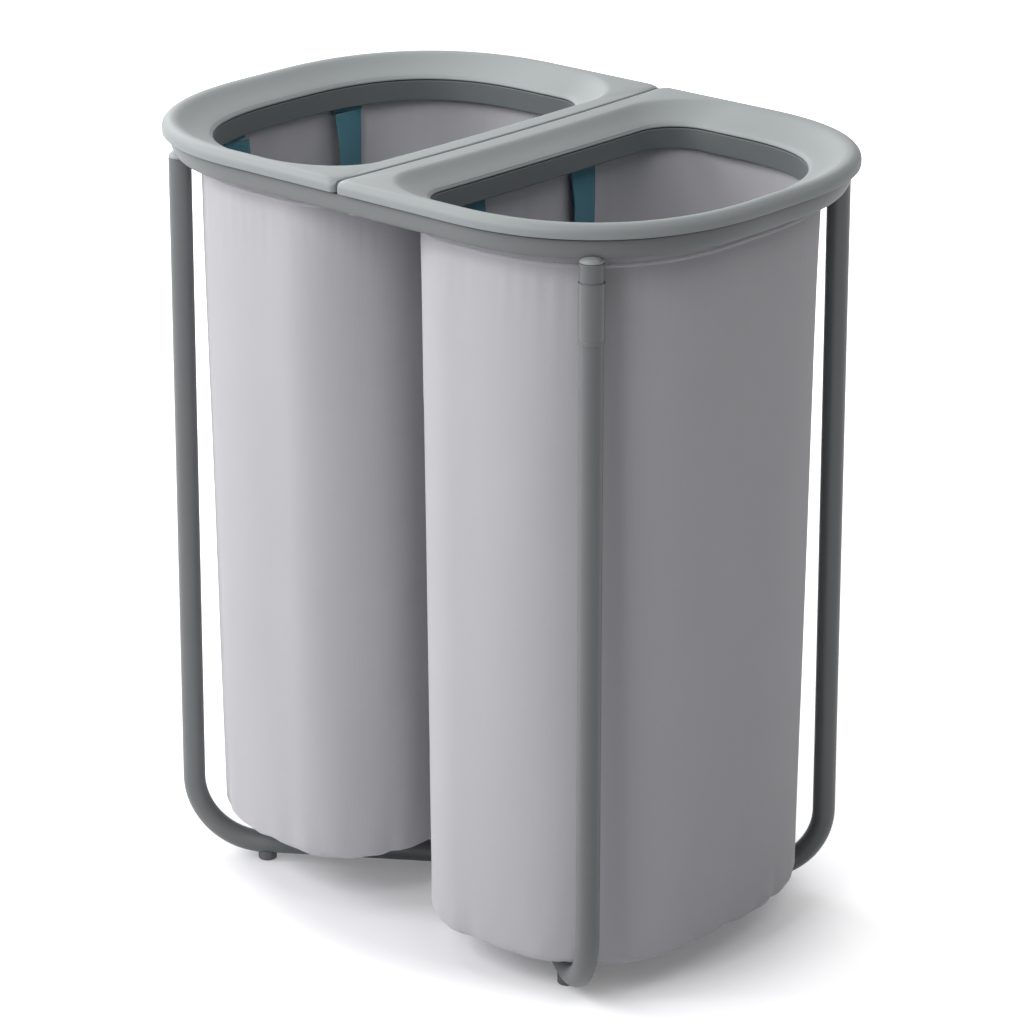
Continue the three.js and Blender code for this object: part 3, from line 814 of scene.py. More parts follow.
@dataclass(frozen=True)
class PowderCoat(Finish):
    """Powder-coated steel tube: an even satin colour over a soft orange peel about 2 mm wide."""

    peel: float = 2.2 * MM
    peel_depth: float = 0.03 * MM
    cloud: float = 40 * MM
    cloud_share: float = 0.05

    def dress(self, tree: Tree, shader: Node) -> None:
        """Adds orange peel as a bump, with a faint change of tone along the tube."""
        place = add_node(tree, "ShaderNodeTexCoord").outputs["Object"]
        peel, cloud = (
            add_node(
                tree, "ShaderNodeTexNoise", {"Scale": 1 / size, "Detail": detail}, {"Vector": place},
            ).outputs["Fac"]
            for size, detail in ((self.peel, 1.0), (self.cloud, 4.0))
        )
        self.emboss(tree, shader, peel, self.peel_depth)
        self.tint(tree, shader, cloud, self.cloud_share)


@dataclass(frozen=True)
class WovenCloth(Finish):
    """Plain-woven polyester: fine warp and weft with thicker slubs, and a dry, slightly furry sheen.

    The threads are about 0.5 mm apart, too fine to show, so they are drawn coarser. The warp stands
    prouder than the weft, which gives the faint upright ribs of the real cloth.
    """

    warp: float = 2.3 * MM
    weft: float = 1.5 * MM
    weft_share: float = 0.25
    slub: Pair = (3 * MM, 60 * MM)
    slub_share: float = 0.3
    depth: float = 0.12 * MM
    sheen: float = 0.25
    sheen_roughness: float = 0.5
    cloud: float = 90 * MM
    cloud_share: float = 0.5
    tone_share: float = 0.05

    def dress(self, tree: Tree, shader: Node) -> None:
        """Adds threads as crossed waves and slubs as stretched noise, in the bump and the tone."""
        place = add_node(tree, "ShaderNodeUVMap", uv_map="pattern").outputs["UV"]
        warp, weft = (
            add_node(
                tree, "ShaderNodeTexWave",
                {"Scale": band_scale(period), "Distortion": 0.6, "Detail": 1.0, "Detail Scale": 0.4},
                {"Vector": place}, bands_direction=direction,
            ).outputs["Fac"]
            for period, direction in ((self.warp, "X"), (self.weft, "Y"))
        )
        weave = add_node(tree, "ShaderNodeMix", {0: self.weft_share}, {2: warp, 3: weft}).outputs[0]
        stretch = (1 / self.slub[0], 1 / self.slub[1], 1.0)
        drawn = add_node(tree, "ShaderNodeMapping", {"Scale": stretch}, {"Vector": place}).outputs[0]
        slub, cloud = (
            add_node(
                tree, "ShaderNodeTexNoise", {"Scale": scale, "Detail": detail}, {"Vector": vector},
            ).outputs["Fac"]
            for scale, detail, vector in ((1.0, 3.0, drawn), (1 / self.cloud, 5.0, place))
        )
        height = add_node(tree, "ShaderNodeMix", {0: self.slub_share}, {2: weave, 3: slub}).outputs[0]
        self.emboss(tree, shader, height, self.depth)
        tone = add_node(tree, "ShaderNodeMix", {0: self.cloud_share}, {2: height, 3: cloud}).outputs[0]
        self.tint(tree, shader, tone, self.tone_share)
        set_inputs(shader, {"Sheen Weight": self.sheen, "Sheen Roughness": self.sheen_roughness})


@dataclass(frozen=True)
class Webbing(Finish):
    """Woven polyester webbing or thread: narrow ribs along it, crossed by tight slanted picks."""

    rib: float = 2.1 * MM
    pick: float = 1.6 * MM
    depth: float = 0.22 * MM
    pick_share: float = 0.4
    tone_share: float = 0.16
    sheen: float = 0.2

    def dress(self, tree: Tree, shader: Node) -> None:
        """Adds ribs and picks as waves along and aslant the strap, in the bump and the tone."""
        place = add_node(tree, "ShaderNodeUVMap", uv_map="pattern").outputs["UV"]
        ribs, picks = (
            add_node(
                tree, "ShaderNodeTexWave", {"Scale": band_scale(period), "Distortion": 0.4},
                {"Vector": place}, bands_direction=direction,
            ).outputs["Fac"]
            for period, direction in ((self.rib, "X"), (self.pick, "DIAGONAL"))
        )
        height = add_node(tree, "ShaderNodeMix", {0: self.pick_share}, {2: ribs, 3: picks}).outputs[0]
        self.emboss(tree, shader, height, self.depth)
        self.tint(tree, shader, height, self.tone_share)
        set_inputs(shader, {"Sheen Weight": self.sheen})


@dataclass(frozen=True)
class ZincSteel(Finish):
    """Zinc-plated steel screw: bright but slightly clouded metal, with clouds about 3 mm wide."""

    cloud: float = 3 * MM
    shinier: float = 0.08
    duller: float = 0.12

    def dress(self, tree: Tree, shader: Node) -> None:
        """Adds the plating's clouds to the roughness."""
        place = add_node(tree, "ShaderNodeTexCoord").outputs["Object"]
        cloud = add_node(
            tree, "ShaderNodeTexNoise", {"Scale": 1 / self.cloud, "Detail": 4.0}, {"Vector": place},
        ).outputs["Fac"]
        self.cloud_gloss(tree, shader, cloud, self.shinier, self.duller)
        set_inputs(shader, {"Metallic": 1.0})


# Polypropylene, moulded: satin, so its round edges carry long soft highlights
RIM_PLASTIC = MouldedPlastic("satin moulded polypropylene", "#969B9C", 0.55, 1.49)
# The same plastic in darker, flatter colours
COLLAR_PLASTIC = MouldedPlastic("matte moulded collar plastic", "#656A6B", 0.55, 1.49)
RING_PLASTIC = MouldedPlastic("matte moulded ring plastic", "#717474", 0.5, 1.49)
HOOP_PLASTIC = MouldedPlastic("moulded hoop plastic", "#8C8F90", 0.6, 1.49)
# Nylon, moulded: a little harder and paler
PLUG_PLASTIC = MouldedPlastic("moulded nylon plug", "#9FA2A3", 0.45, 1.53)
# Polyethylene, rolled into a sheet: waxy and dull
BOARD_PLASTIC = MouldedPlastic("rolled polyethylene board", "#9A9AA0", 0.75, 1.51, grain=3 * MM)
# Rubber, moulded: dull with almost no highlight
FOOT_RUBBER = MouldedPlastic("moulded rubber", "#6A6D6E", 0.85, 1.52)
# Vinyl film, shrunk on: smoother than what it covers
SLEEVE_FILM = MouldedPlastic("shrunk vinyl film", "#6E6F71", 0.38, 1.53, grain_depth=0.008 * MM)
# Steel tube, powder-coated: satin
TUBE_PAINT = PowderCoat("powder-coated steel", "#6A6D6E", 0.42, 1.5)
# Polyester, woven plain, uncoated outside
BAG_CLOTH = WovenCloth("woven polyester", "#BEBDC1", 0.9, 1.5)
# The inside of the cloth is coated, so its threads hardly stand out. Its colour is a paler copy of
# the outer cloth's, which paints light into the dim inside of the bag.
BAG_LINING = WovenCloth("coated polyester lining", "#C9C7CA", 0.8, 1.5, depth=0.06 * MM, sheen=0.1)
# Polyester, twisted into thread, with a pattern 0.4 mm wide
THREAD = Webbing("twisted polyester thread", "#B9B8BE", 0.8, 1.5, 0.4 * MM, 0.4 * MM, 0.05 * MM)
# Polyester, woven into a strap
STRAP = Webbing("woven polyester webbing", "#467D8D", 0.85, 1.5)
STRAP_THREAD = Webbing("twisted teal thread", "#4A8093", 0.8, 1.5, 0.4 * MM, 0.4 * MM, 0.05 * MM)
# Steel screws, zinc-plated
ZINC = ZincSteel("zinc-plated steel", "#B9BBBD", 0.35, 1.5)


def give(piece: Object, body: str, node: str, slot: str, *finishes: Finish) -> None:
    """Dresses a finished piece, and says what it rides on and what it stands for.

    Args:
        piece: the finished object.
        body: the body that it moves with.
        node: the node that it stands for.
        slot: not used.
        finishes: one for each material index of the mesh.
    """
    piece.data.materials.clear()
    for finish in finishes:
        piece.data.materials.append(finish.material())
    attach(piece, body)
    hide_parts(node)
    LOG.info("%s stands for %s on %s, %d faces", piece.name, node, body, len(piece.data.polygons))


# Shared sizes


@dataclass(frozen=True)
class Sizes:
    """Outlines and heights that several pieces share, worked out from the nodes' boxes.

    Names that start with rim, mouth, bag or hoop are sizes of that outline. A pair of radii or
    insets is along X and along Y.
    """

    corner_along: float = 168 * MM
    end_straight: float = 21 * MM
    corner_power: float = 2.31
    rim_seam_corner: float = 4.5 * MM
    lip_rise: float = 5.8 * MM
    rim_seam_inset: float = 0.5 * MM
    collar_flange: float = 4 * MM
    mouth_from_seam: float = 40.4 * MM
    mouth_seam_corner: float = 37 * MM
    mouth_corner_inset: Pair = (32 * MM, 24 * MM)
    mouth_power: float = 2.7
    mouth_edge: float = 1.8 * MM
    hem: float = 0.8 * MM
    bag_wall: float = 1.2 * MM
    bag_seam_corner: float = 72 * MM
    seam_corner_past_handle: float = 7.5 * MM
    bag_corner_inset: Pair = (30 * MM, 26 * MM)
    bag_power: float = 2.4
    taper_share: float = 0.965
    hoop_seam_corner: float = 12 * MM
    hoop_inset: float = 17 * MM
    tube_radius: float = 9.5 * MM
    tube_wall: float = 1.3 * MM
    leg_below_ring: float = 2.5 * MM
    leg_lean: float = 5 * MM
    bend_radius: float = 60 * MM
    foot_past_bend: float = 3 * MM
    tube_start: float = 26 * MM

    @property
    def top(self) -> float:
        """The height of the rims' crest."""
        return node_box("front_rim")[1].z

    @property
    def ring_top(self) -> float:
        """The height of the ring's flat top."""
        return node_box("top_ring")[1].z

    @property
    def ring_bottom(self) -> float:
        """The height of the ring's lower edge."""
        return node_box("top_ring")[0].z

    @property
    def lip(self) -> float:
        """The height of the rims' lower edge, which covers the ring's crown."""
        return node_box("front_rim")[0].z + self.lip_rise

    @property
    def mouth_height(self) -> float:
        """The height of the mouth's upper edge, above the collar."""
        return node_box("front_rim_collar")[1].z + CLEARANCE + self.mouth_edge

    @property
    def bag_top(self) -> float:
        """The height of the bags' upper edge."""
        return node_box("front_bag")[1].z

    @property
    def handle_reach(self) -> float:
        """How far a handle reaches across from the middle of its wall."""
        return node_box("front_seam_handle")[1].y

    def rim(self) -> Outline:
        """The outer outline of a rim.

        Returns:
            The outline, as wide as the rim's node.
        """
        low, high = node_box("front_rim")
        corner = self.rim_seam_corner
        return Outline(
            low.x + self.rim_seam_inset, high.x, high.y, corner, corner,
            self.corner_along, high.y - self.end_straight, self.corner_power,
        )

    def inside(self, node: str, grown: float, seam_corner: Pair, inset: Pair, power: float) -> Outline:
        """The outline of a piece inside the rim.

        Args:
            node: its node.
            grown: how much larger than the outline the node's box is, on each side.
            seam_corner: radii of the corner beside the seam.
            inset: how much smaller than the rim's the large corner's radii are.
            power: of the large corner.

        Returns:
            The outline.
        """
        low, high = node_box(node)
        rim = self.rim()
        return Outline(
            low.x + grown, high.x - grown, high.y - grown, *seam_corner,
            rim.corner_along - inset[0], rim.corner_across - inset[1], power,
        )

    def mouth(self) -> Outline:
        """The outline of a mouth.

        Returns:
            The outline of its edge, inside the collar's flange.
        """
        corner = (self.mouth_seam_corner, self.mouth_seam_corner)
        mouth = self.inside(
            "front_rim_collar", self.collar_flange, corner, self.mouth_corner_inset, self.mouth_power,
        )
        return replace(mouth, from_seam=self.mouth_from_seam)

    def bag(self) -> Outline:
        """The outline of a bag at its upper edge, without the hem's fold.

        Returns:
            The outline, whose corners beside the seam start just past the handle.
        """
        across = node_box("front_bag")[1].y - self.hem - self.handle_reach - self.seam_corner_past_handle
        corner = (self.bag_seam_corner, across)
        return self.inside("front_bag", self.hem, corner, self.bag_corner_inset, self.bag_power)

    def bag_at(self, height: float) -> Outline:
        """The bag's outline at a height: it narrows steadily from its upper edge down to the floor."""
        fall = (self.bag_top - height) / self.bag_top
        return self.bag().tapered(1 - (1 - self.taper_share) * fall)

    def hoop(self) -> Outline:
        """The outline of a hoop's flange.

        Returns:
            The outline, as wide as the hoop's node.
        """
        corner = (self.hoop_seam_corner, self.hoop_seam_corner)
        inset = (self.hoop_inset, self.hoop_inset)
        return self.inside("front_bag_hoop", 0.0, corner, inset, self.corner_power)


# Rims and collars


@dataclass(frozen=True)
class RimSet:
    """The pale sloped rim of a bin, and the dark collar that hangs inside its mouth.

    The crest's corner has a radius along X and one across it. The foot is drawn in by its first
    number, and beside the seam by its second. The slot has a width and a depth.
    """

    side: Bin
    sizes: Sizes
    bead: float = 7.3 * MM
    seam_edge: float = 1.1 * MM
    bead_top_corner: float = 11 * MM
    crest_inset: float = 7.7 * MM
    crest_from_seam: float = 14 * MM
    crest_corner: Pair = (75 * MM, 60 * MM)
    shoulder: float = 0.2
    lip_round: float = 1.0 * MM
    seam_dip: float = 3.8 * MM
    seam_dip_fade: float = 0.62
    mouth_dip: float = 1.4 * MM
    foot: Pair = (9 * MM, 5 * MM)
    foot_corner: float = 2 * MM
    foot_under: float = 3.2 * MM
    wall: float = 2.2 * MM
    edge_round: float = 1.4 * MM
    hollow: float = 0.9 * MM
    collar_wall: float = 2 * MM
    collar_flange_depth: float = 2 * MM
    collar_round: float = 0.7 * MM
    collar_slot: Pair = (2.6 * MM, 0.9 * MM)
    land_shares: Pair = (0.3, 0.65)
    lip_rows: int = 4
    bead_rows: int = 18
    slope_rows: int = 18
    edge_rows: int = 6
    under_rows: int = 7

    def along_seam(self, loop: Loop) -> Array:
        """How fully each point lies on the seam's side: one less a share of the square of the way across."""
        return loop.seam * (1 - self.seam_dip_fade * (loop.y / self.sizes.rim().to_side) ** 2)

    def crest(self, loop: Loop) -> Array:
        """Height of the rim's highest line, which dips along the seam."""
        return self.sizes.top - self.seam_dip * self.along_seam(loop)

    def mouth_at(self, loop: Loop) -> Array:
        """Height of the mouth's upper edge, which dips a little along the seam."""
        return self.sizes.mouth_height - self.mouth_dip * self.along_seam(loop)

    def bead_at(self, loop: Loop) -> Array:
        """The radius of the upper edge: a full bead outside, and a small round beside the seam."""
        return self.bead + (self.seam_edge - self.bead) * loop.seam ** 2

    def bead_outline(self, out: float) -> Outline:
        """The rim's outline drawn in over the bead, with a corner that widens on the way.

        Args:
            out: the share of the bead, from 0 at its outside to 1 at its top.

        Returns:
            The outline.
        """
        corner = self.sizes.rim_seam_corner * (1 - out) + self.bead_top_corner * out
        drawn = self.sizes.rim().inset(self.bead * out, self.seam_edge * out)
        return replace(drawn, seam_along=corner, seam_across=corner)

    def crest_outline(self) -> Outline:
        """The inner edge of the level land, which has a wide corner beside the seam.

        Returns:
            The outline where the slope starts.
        """
        along, across = self.crest_corner
        drawn = self.sizes.rim().inset(self.crest_inset, self.crest_from_seam)
        return replace(drawn, seam_along=along, seam_across=across)

    def slope(self, share: float, under: float) -> Array:
        """A loop on the slope from the land to the mouth, hollowed by a sine.

        The fall starts as a square over the shoulder and goes on straight.

        Args:
            share: 0 at the land and 1 at the mouth.
            under: how far below the upper face.

        Returns:
            The loop's points.
        """
        loop = self.crest_outline().mixed(self.sizes.mouth(), share).loop(self.side)
        round_off = self.shoulder
        fall = share ** 2 / round_off if share < round_off else 2 * share - round_off
        top = self.crest(loop)
        sunk = self.hollow * math.sin(math.pi * share) ** 2
        return loop.at(top + (self.mouth_at(loop) - top) * fall / (2 - round_off) - sunk - under)

    def rim(self) -> Object:
        """The rim: a lip, a round bead, a level land, the slope, the mouth's edge, and the hollow beneath.

        On the bead, the inset is the radius times one less the angle's cosine, and the fall the radius
        times one less its sine.

        Returns:
            The finished shell.
        """
        outer, mouth = self.sizes.rim(), self.sizes.mouth()
        low = self.sizes.lip
        rows = []
        for angle in np.linspace(0, QUARTER, self.lip_rows):
            lip = outer.inset(self.lip_round * (1 - math.sin(angle))).loop(self.side)
            rows.append(lip.at(low + self.lip_round * (1 - math.cos(angle))))
        for angle in np.linspace(0, QUARTER, self.bead_rows):
            loop = self.bead_outline(1 - math.cos(angle)).loop(self.side)
            rows.append(loop.at(self.crest(loop) - self.bead_at(loop) * (1 - math.sin(angle))))
        for share in self.land_shares:
            land = self.bead_outline(1.0).mixed(self.crest_outline(), share).loop(self.side)
            rows.append(land.at(self.crest(land)))
        rows += [self.slope(share, 0.0) for share in np.linspace(0, 0.95, self.slope_rows)]
        for angle in np.linspace(0.2, QUARTER, self.edge_rows):
            edge = mouth.inset(-self.edge_round * (1 - math.sin(angle))).loop(self.side)
            rows.append(edge.at(self.mouth_at(edge) - self.edge_round * (1 - math.cos(angle))))
        edge = mouth.loop(self.side)
        rows.append(edge.at(self.mouth_at(edge) - self.sizes.mouth_edge))
        rows += [self.slope(share, self.wall) for share in np.linspace(0.9, 0.08, self.under_rows)]
        foot = replace(outer.inset(*self.foot), seam_along=self.foot_corner, seam_across=self.foot_corner)
        inner = foot.loop(self.side)
        rows += [inner.at(self.crest(inner) - self.foot_under), inner.at(low)]
        return make_mesh(f"{self.side.title}_rim_shell", [loft(rows, True)], 50)

    def collar(self) -> Object:
        """The collar: a thin upright band that follows the mouth's edge, with a slot between them.

        Returns:
            The finished band.
        """
        mouth = self.sizes.mouth()
        low, top = (corner.z for corner in node_box("front_rim_collar"))
        edge, half = self.collar_round, self.collar_wall / 2
        flange, flange_low = self.sizes.collar_flange, top - self.collar_flange_depth
        slot_width, slot_depth = self.collar_slot
        seat = top - slot_depth
        section = [
            *arc((edge, seat - edge), edge, 90, 180, 4),
            *((0.0, z) for z in np.linspace(seat - 2 * edge, low + 2 * half, 5)),
            *arc((half, low + half), half, 180, 360, 8),
            (self.collar_wall, flange_low), (flange, flange_low), (flange, top), (slot_width, top),
            (slot_width, seat),
        ]
        rows = []
        for grown, z in section:
            loop = mouth.inset(-grown).loop(self.side)
            rows.append(loop.at(z - self.mouth_dip * self.along_seam(loop) * (z - low) / (top - low)))
        return make_mesh(f"{self.side.title}_collar_band", [loft(rows, True)], 50)

    def build(self) -> None:
        """Makes both pieces and hands them over."""
        title = self.side.title
        body = f"{title}_rim_body"
        give(self.rim(), body, f"{title}_rim", "rim_plastic", RIM_PLASTIC)
        give(self.collar(), body, f"{title}_rim_collar", "collar_plastic", COLLAR_PLASTIC)


# Sewing


@dataclass(frozen=True)
class Stitches:
    """Short threads in a row, each a low capsule of six sides whose ends dip into the cloth."""

    length: float = 3.0 * MM
    pitch: float = 4.2 * MM
    radius: float = 0.3 * MM
    finish_index: int = 0

    def along_loop(self, loop: Loop, height: float) -> Patch:
        """A row of stitches round a loop, at equal steps of the way along it.

        Args:
            loop: the line on the cloth.
            height: its height.

        Returns:
            The threads.
        """
        spaced = loop.spaced(round(loop.travelled()[-1] / self.pitch))
        out = np.concatenate([spaced.outward(), np.zeros((len(spaced.x), 1))], axis=1)
        along = together(-out[:, 1], out[:, 0], out[:, 2])
        return self.threads(spaced.at(height), along, out)

    def along_line(self, start: Array, end: Array, out: Array) -> Patch:
        """A row of stitches in a straight line.

        Args:
            start: where it starts.
            end: where it ends.
            out: unit vector out of the cloth.

        Returns:
            The threads.
        """
        way = end - start
        size = float(np.linalg.norm(way))
        count = max(1, round(size / self.pitch))
        share = (np.arange(count) + 0.5) / count
        middles = start + share[:, None] * way
        shape = middles.shape
        return self.threads(middles, np.broadcast_to(way / size, shape), np.broadcast_to(out, shape))

    def threads(self, middles: Array, along: Array, out: Array) -> Patch:
        """The threads' mesh.

        A thread's section is a circle that shrinks to its ends as the root of one less a square, and
        it rises from the cloth as a cosine.

        Args:
            middles: n × 3 points on the cloth.
            along: n × 3 unit vectors along the thread.
            out: n × 3 unit vectors out of the cloth.

        Returns:
            One patch with all the threads.
        """
        ring = np.linspace(-1, 1, 5)[None, :, None, None]
        angle = turns(6)[None, None, :, None]
        middles, along, out = (values[:, None, None, :] for values in (middles, along, out))
        side = np.cross(along, out)
        swell = self.radius * np.sqrt(1 - (0.9 * ring) ** 2)
        rise = self.radius * 0.6 * np.cos(ring * QUARTER * 0.9)
        points = middles + along * ring * self.length / 2 + out * rise
        points = points + swell * (np.cos(angle) * side + np.sin(angle) * out)
        count, rings, sides = points.shape[:3]
        single = Surface(points[0]).patch()
        quads = single.faces[0]
        start = (np.arange(count) * rings * sides)[:, None, None]
        ends = np.stack([np.arange(sides), (rings - 1) * sides + np.arange(sides)[::-1]])
        faces = [(quads[None] + start).reshape(-1, 4), (ends[None] + start).reshape(-1, sides)]
        if single.volume() < 0:
            ends = ends[:, ::-1]
        return Patch(
            points.reshape(-1, 3), [faces[0], faces[1][:, ::-1]],
            [np.zeros((*group.shape, 2)) for group in faces],
            [np.full(len(group), self.finish_index) for group in faces],
        )


# Bags


@dataclass(frozen=True)
class Folds:
    """One family of folds in a cloth wall: a sum of sines that close round the bag.

    Args:
        length: typical distance between folds, round the bag.
        height: how far each fold stands out.
        lean: how many turns a fold's phase drifts over a metre of height.
        waves: how many sines are summed.
    """

    length: float
    height: float
    lean: float = 1.0
    waves: int = 7

    def at(self, turn: Array, height: Array, around: float, seed: int) -> Array:
        """The folds' offset, from sines of seeded count, phase and lean.

        Args:
            turn: share of the way round, 0 to 1, one for each point.
            height: heights, one for each point.
            around: the way round the bag.
            seed: sets which folds these are.

        Returns:
            Offsets, one for each point.
        """
        random = np.random.default_rng(seed)
        cycles = np.round(random.uniform(0.6, 1.4, self.waves) * around / self.length)
        phase = random.uniform(0, 2 * math.pi, self.waves)
        lean = random.normal(0, self.lean, self.waves) * 2 * math.pi
        weight = random.uniform(0.4, 1.0, self.waves)
        wave = np.sin(2 * math.pi * turn[:, None] * cycles + phase + height[:, None] * lean)
        return self.height * (wave * weight).sum(axis=-1) / weight.sum() * math.sqrt(self.waves)


@dataclass(frozen=True)
class BagSet:
    """A cloth bag with its hoop, its floor board and its two loop handles."""

    side: Bin
    sizes: Sizes
    seed: int
    fineness: float = 2.2
    hem_depth: float = 23 * MM
    hem_step: float = 0.8 * MM
    hem_stitch_up: float = 2.4 * MM
    top_stitch_down: float = 4 * MM
    bottom_round: float = 9 * MM
    hold_depth: float = 70 * MM
    pucker_start: float = 6 * MM
    pucker_fade: float = 28 * MM
    seam_fold_start: float = 3 * MM
    folds_below_hem: float = 1.6 * MM
    outer_rows: int = 60
    inner_rows: int = 36
    floor_shares: tuple[float, ...] = (0.96, 0.91, 0.84, 0.72, 0.55, 0.35, 0.12)
    pinches: int = 15
    pinch_up: float = 4.0 * MM
    pinch_in: float = 2.2 * MM
    pinch_width: float = 11 * MM
    pinch_height: float = 26 * MM
    seam_fold: float = 0.7 * MM
    seam_fold_width: float = 5 * MM
    folds: tuple[Folds, ...] = (Folds(260 * MM, 0.9 * MM, 0.6), Folds(95 * MM, 0.35 * MM, 1.4))
    hem_folds: Folds = Folds(15 * MM, 0.3 * MM, 2.0, 9)
    bottom_folds: Folds = Folds(36 * MM, 0.6 * MM, 6.0, 8)
    hoop_thickness: float = 4 * MM
    hoop_skirt: float = 2 * MM
    hoop_ease: float = 1.8 * MM
    edge: float = 0.6 * MM
    board_inset: float = 18 * MM
    strap_width: float = 30 * MM
    strap_thickness: float = 1.6 * MM
    strap_edge: float = 0.5 * MM
    strap_lean: float = 4.2 * MM
    strap_lean_length: float = 34 * MM
    strap_wave: float = 0.3 * MM
    strap_wave_length: float = 85 * MM
    strap_wave_start: float = 20 * MM
    tab_seat: float = 0.7 * MM
    tab_margin: float = 3.2 * MM
    hem_stitches: Stitches = Stitches(finish_index=2)
    tab_stitches: Stitches = Stitches(2.3 * MM, 3.1 * MM, finish_index=1)

    @property
    def title(self) -> str:
        """The name that starts the bag's nodes."""
        return self.side.title

    @property
    def body(self) -> str:
        """The body that the bag moves with."""
        return f"{self.title}_bag_body"

    @property
    def floor(self) -> float:
        """The height of the bag's underside."""
        return node_box(f"{self.title}_bag")[0].z

    @property
    def hem_bottom(self) -> float:
        """The height of the hem's lower edge."""
        return self.sizes.bag_top - self.hem_depth

    def pinched(self, turn: Array, around: float) -> Array:
        """How hard the bottom seam is drawn up at each point, from 0 between gathers to 1.

        Seeded places round the bag each add a narrow bell: the exponential of minus the distance
        over the width, raised to one and a half.

        Args:
            turn: share of the way round, one for each point.
            around: the way round the bag.

        Returns:
            One number for each point.
        """
        random = np.random.default_rng(self.seed)
        places = (np.arange(self.pinches) + random.uniform(-0.4, 0.4, self.pinches)) / self.pinches
        widths = self.pinch_width * random.uniform(0.5, 1.5, self.pinches)
        sizes = random.uniform(0.25, 1.0, self.pinches)
        away = np.abs((turn[:, None] - places + 0.5) % 1 - 0.5) * around
        return (sizes * np.exp(-(away / widths) ** 1.5)).sum(axis=-1)

    def offset(self, loop: Loop, height: Array) -> Array:
        """How far the cloth stands out from its plain outline at each point of a loop.

        Long folds run down the body, short puckers fade below the hem, and creases gather at the
        bottom seam. A joining seam runs down the wall beside the other bag. All of them vanish at the
        hem, where the hoop holds the cloth.

        Args:
            loop: the plain outline.
            height: heights, one for each point.

        Returns:
            Offsets, one for each point.
        """
        way = loop.travelled()
        turn, around = way[:-1] / way[-1], way[-1]
        below = self.hem_bottom - height
        above = np.maximum(height - self.floor, 0)
        body = sum(fold.at(turn, height, around, self.seed + i) for i, fold in enumerate(self.folds, 1))
        hem = self.hem_folds.at(turn, height, around, self.seed + 10)
        bottom = self.bottom_folds.at(turn, height, around, self.seed + 20)
        held = ease(below / self.hold_depth)
        puckers = ease(below / self.pucker_start) * np.exp(-np.maximum(below, 0) / self.pucker_fade)
        gathers = np.exp(-above / self.pinch_height) * held
        seam = self.seam_fold * np.exp(-(loop.y / self.seam_fold_width) ** 4) * loop.seam
        seam *= ease(below / self.seam_fold_start)
        return (
            body * held + hem * puckers + bottom * gathers + seam
            - self.pinch_in * self.pinched(turn, around) * gathers
        )

    def wall_rows(self, inset: float, rows_down: int) -> list[Array]:
        """The rows of one face of the cloth, from the upper edge down and under to the middle.

        The turn under the floor is a circular arc, lifted where the seam is drawn up.

        Args:
            inset: 0 for the outer face, or the cloth's thickness for the inner one.
            rows_down: number of rows between the hem and the turn.

        Returns:
            Loops of points.
        """
        sizes, step = self.sizes, self.hem_step
        proud = 0.0 if inset else sizes.hem

        def plain(z: float, grown: float) -> Loop:
            """The unfolded outline at a height, grown by an amount."""
            return sizes.bag_at(z).inset(inset - grown).loop(self.side, self.fineness)

        rows = [plain(z, proud).at(z) for z in np.linspace(sizes.bag_top, self.hem_bottom + step, 4)]
        for share in np.linspace(0.25, 1, 4):
            z = self.hem_bottom + step * (1 - 1.5 * share)
            rows.append(plain(z, proud * (1 - share ** 2)).at(z))
        turn_top = self.floor + self.bottom_round
        for z in np.linspace(self.hem_bottom - self.folds_below_hem, turn_top, rows_down):
            loop = plain(z, 0.0)
            rows.append(loop.pushed(self.offset(loop, np.full(loop.x.shape, z))).at(z))
        way = plain(self.floor, 0.0).travelled()
        lift = self.pinch_up * self.pinched(way[:-1] / way[-1], way[-1])
        fall = self.bottom_round - inset
        for angle in np.linspace(0, QUARTER, 7)[1:]:
            loop = plain(self.floor, -self.bottom_round * (1 - math.cos(angle)))
            height = turn_top - fall * math.sin(angle) + lift * math.sin(angle) ** 2
            rows.append(loop.pushed(self.offset(loop, height)).at(height))
        last, low = rows[-1], self.floor + inset
        centre = np.array([*last[:, :2].mean(axis=0), low])
        for share in self.floor_shares:
            row = centre + (last - centre) * share
            row[:, 2] = low + (last[:, 2] - low) * (1 - ease((1 - share) / 0.2))
            rows.append(row)
        return rows

    def bag(self) -> Object:
        """The bag: an inner and an outer face of cloth, joined over the upper edge, with its stitching.

        Returns:
            The finished bag, whose inner face has the second material.
        """
        outer = self.wall_rows(0.0, self.outer_rows)
        inner = self.wall_rows(self.sizes.bag_wall, self.inner_rows)
        lined = np.arange(len(inner) + len(outer)) < len(inner) - 1
        parts = [loft(inner[::-1] + outer, False, lined.astype(int))]
        for z in (self.hem_bottom + self.hem_stitch_up, self.sizes.bag_top - self.top_stitch_down):
            line = self.sizes.bag_at(z).inset(-self.sizes.hem).loop(self.side)
            parts.append(self.hem_stitches.along_loop(line, z))
        return make_mesh(f"{self.title}_cloth_bag", parts, 60)

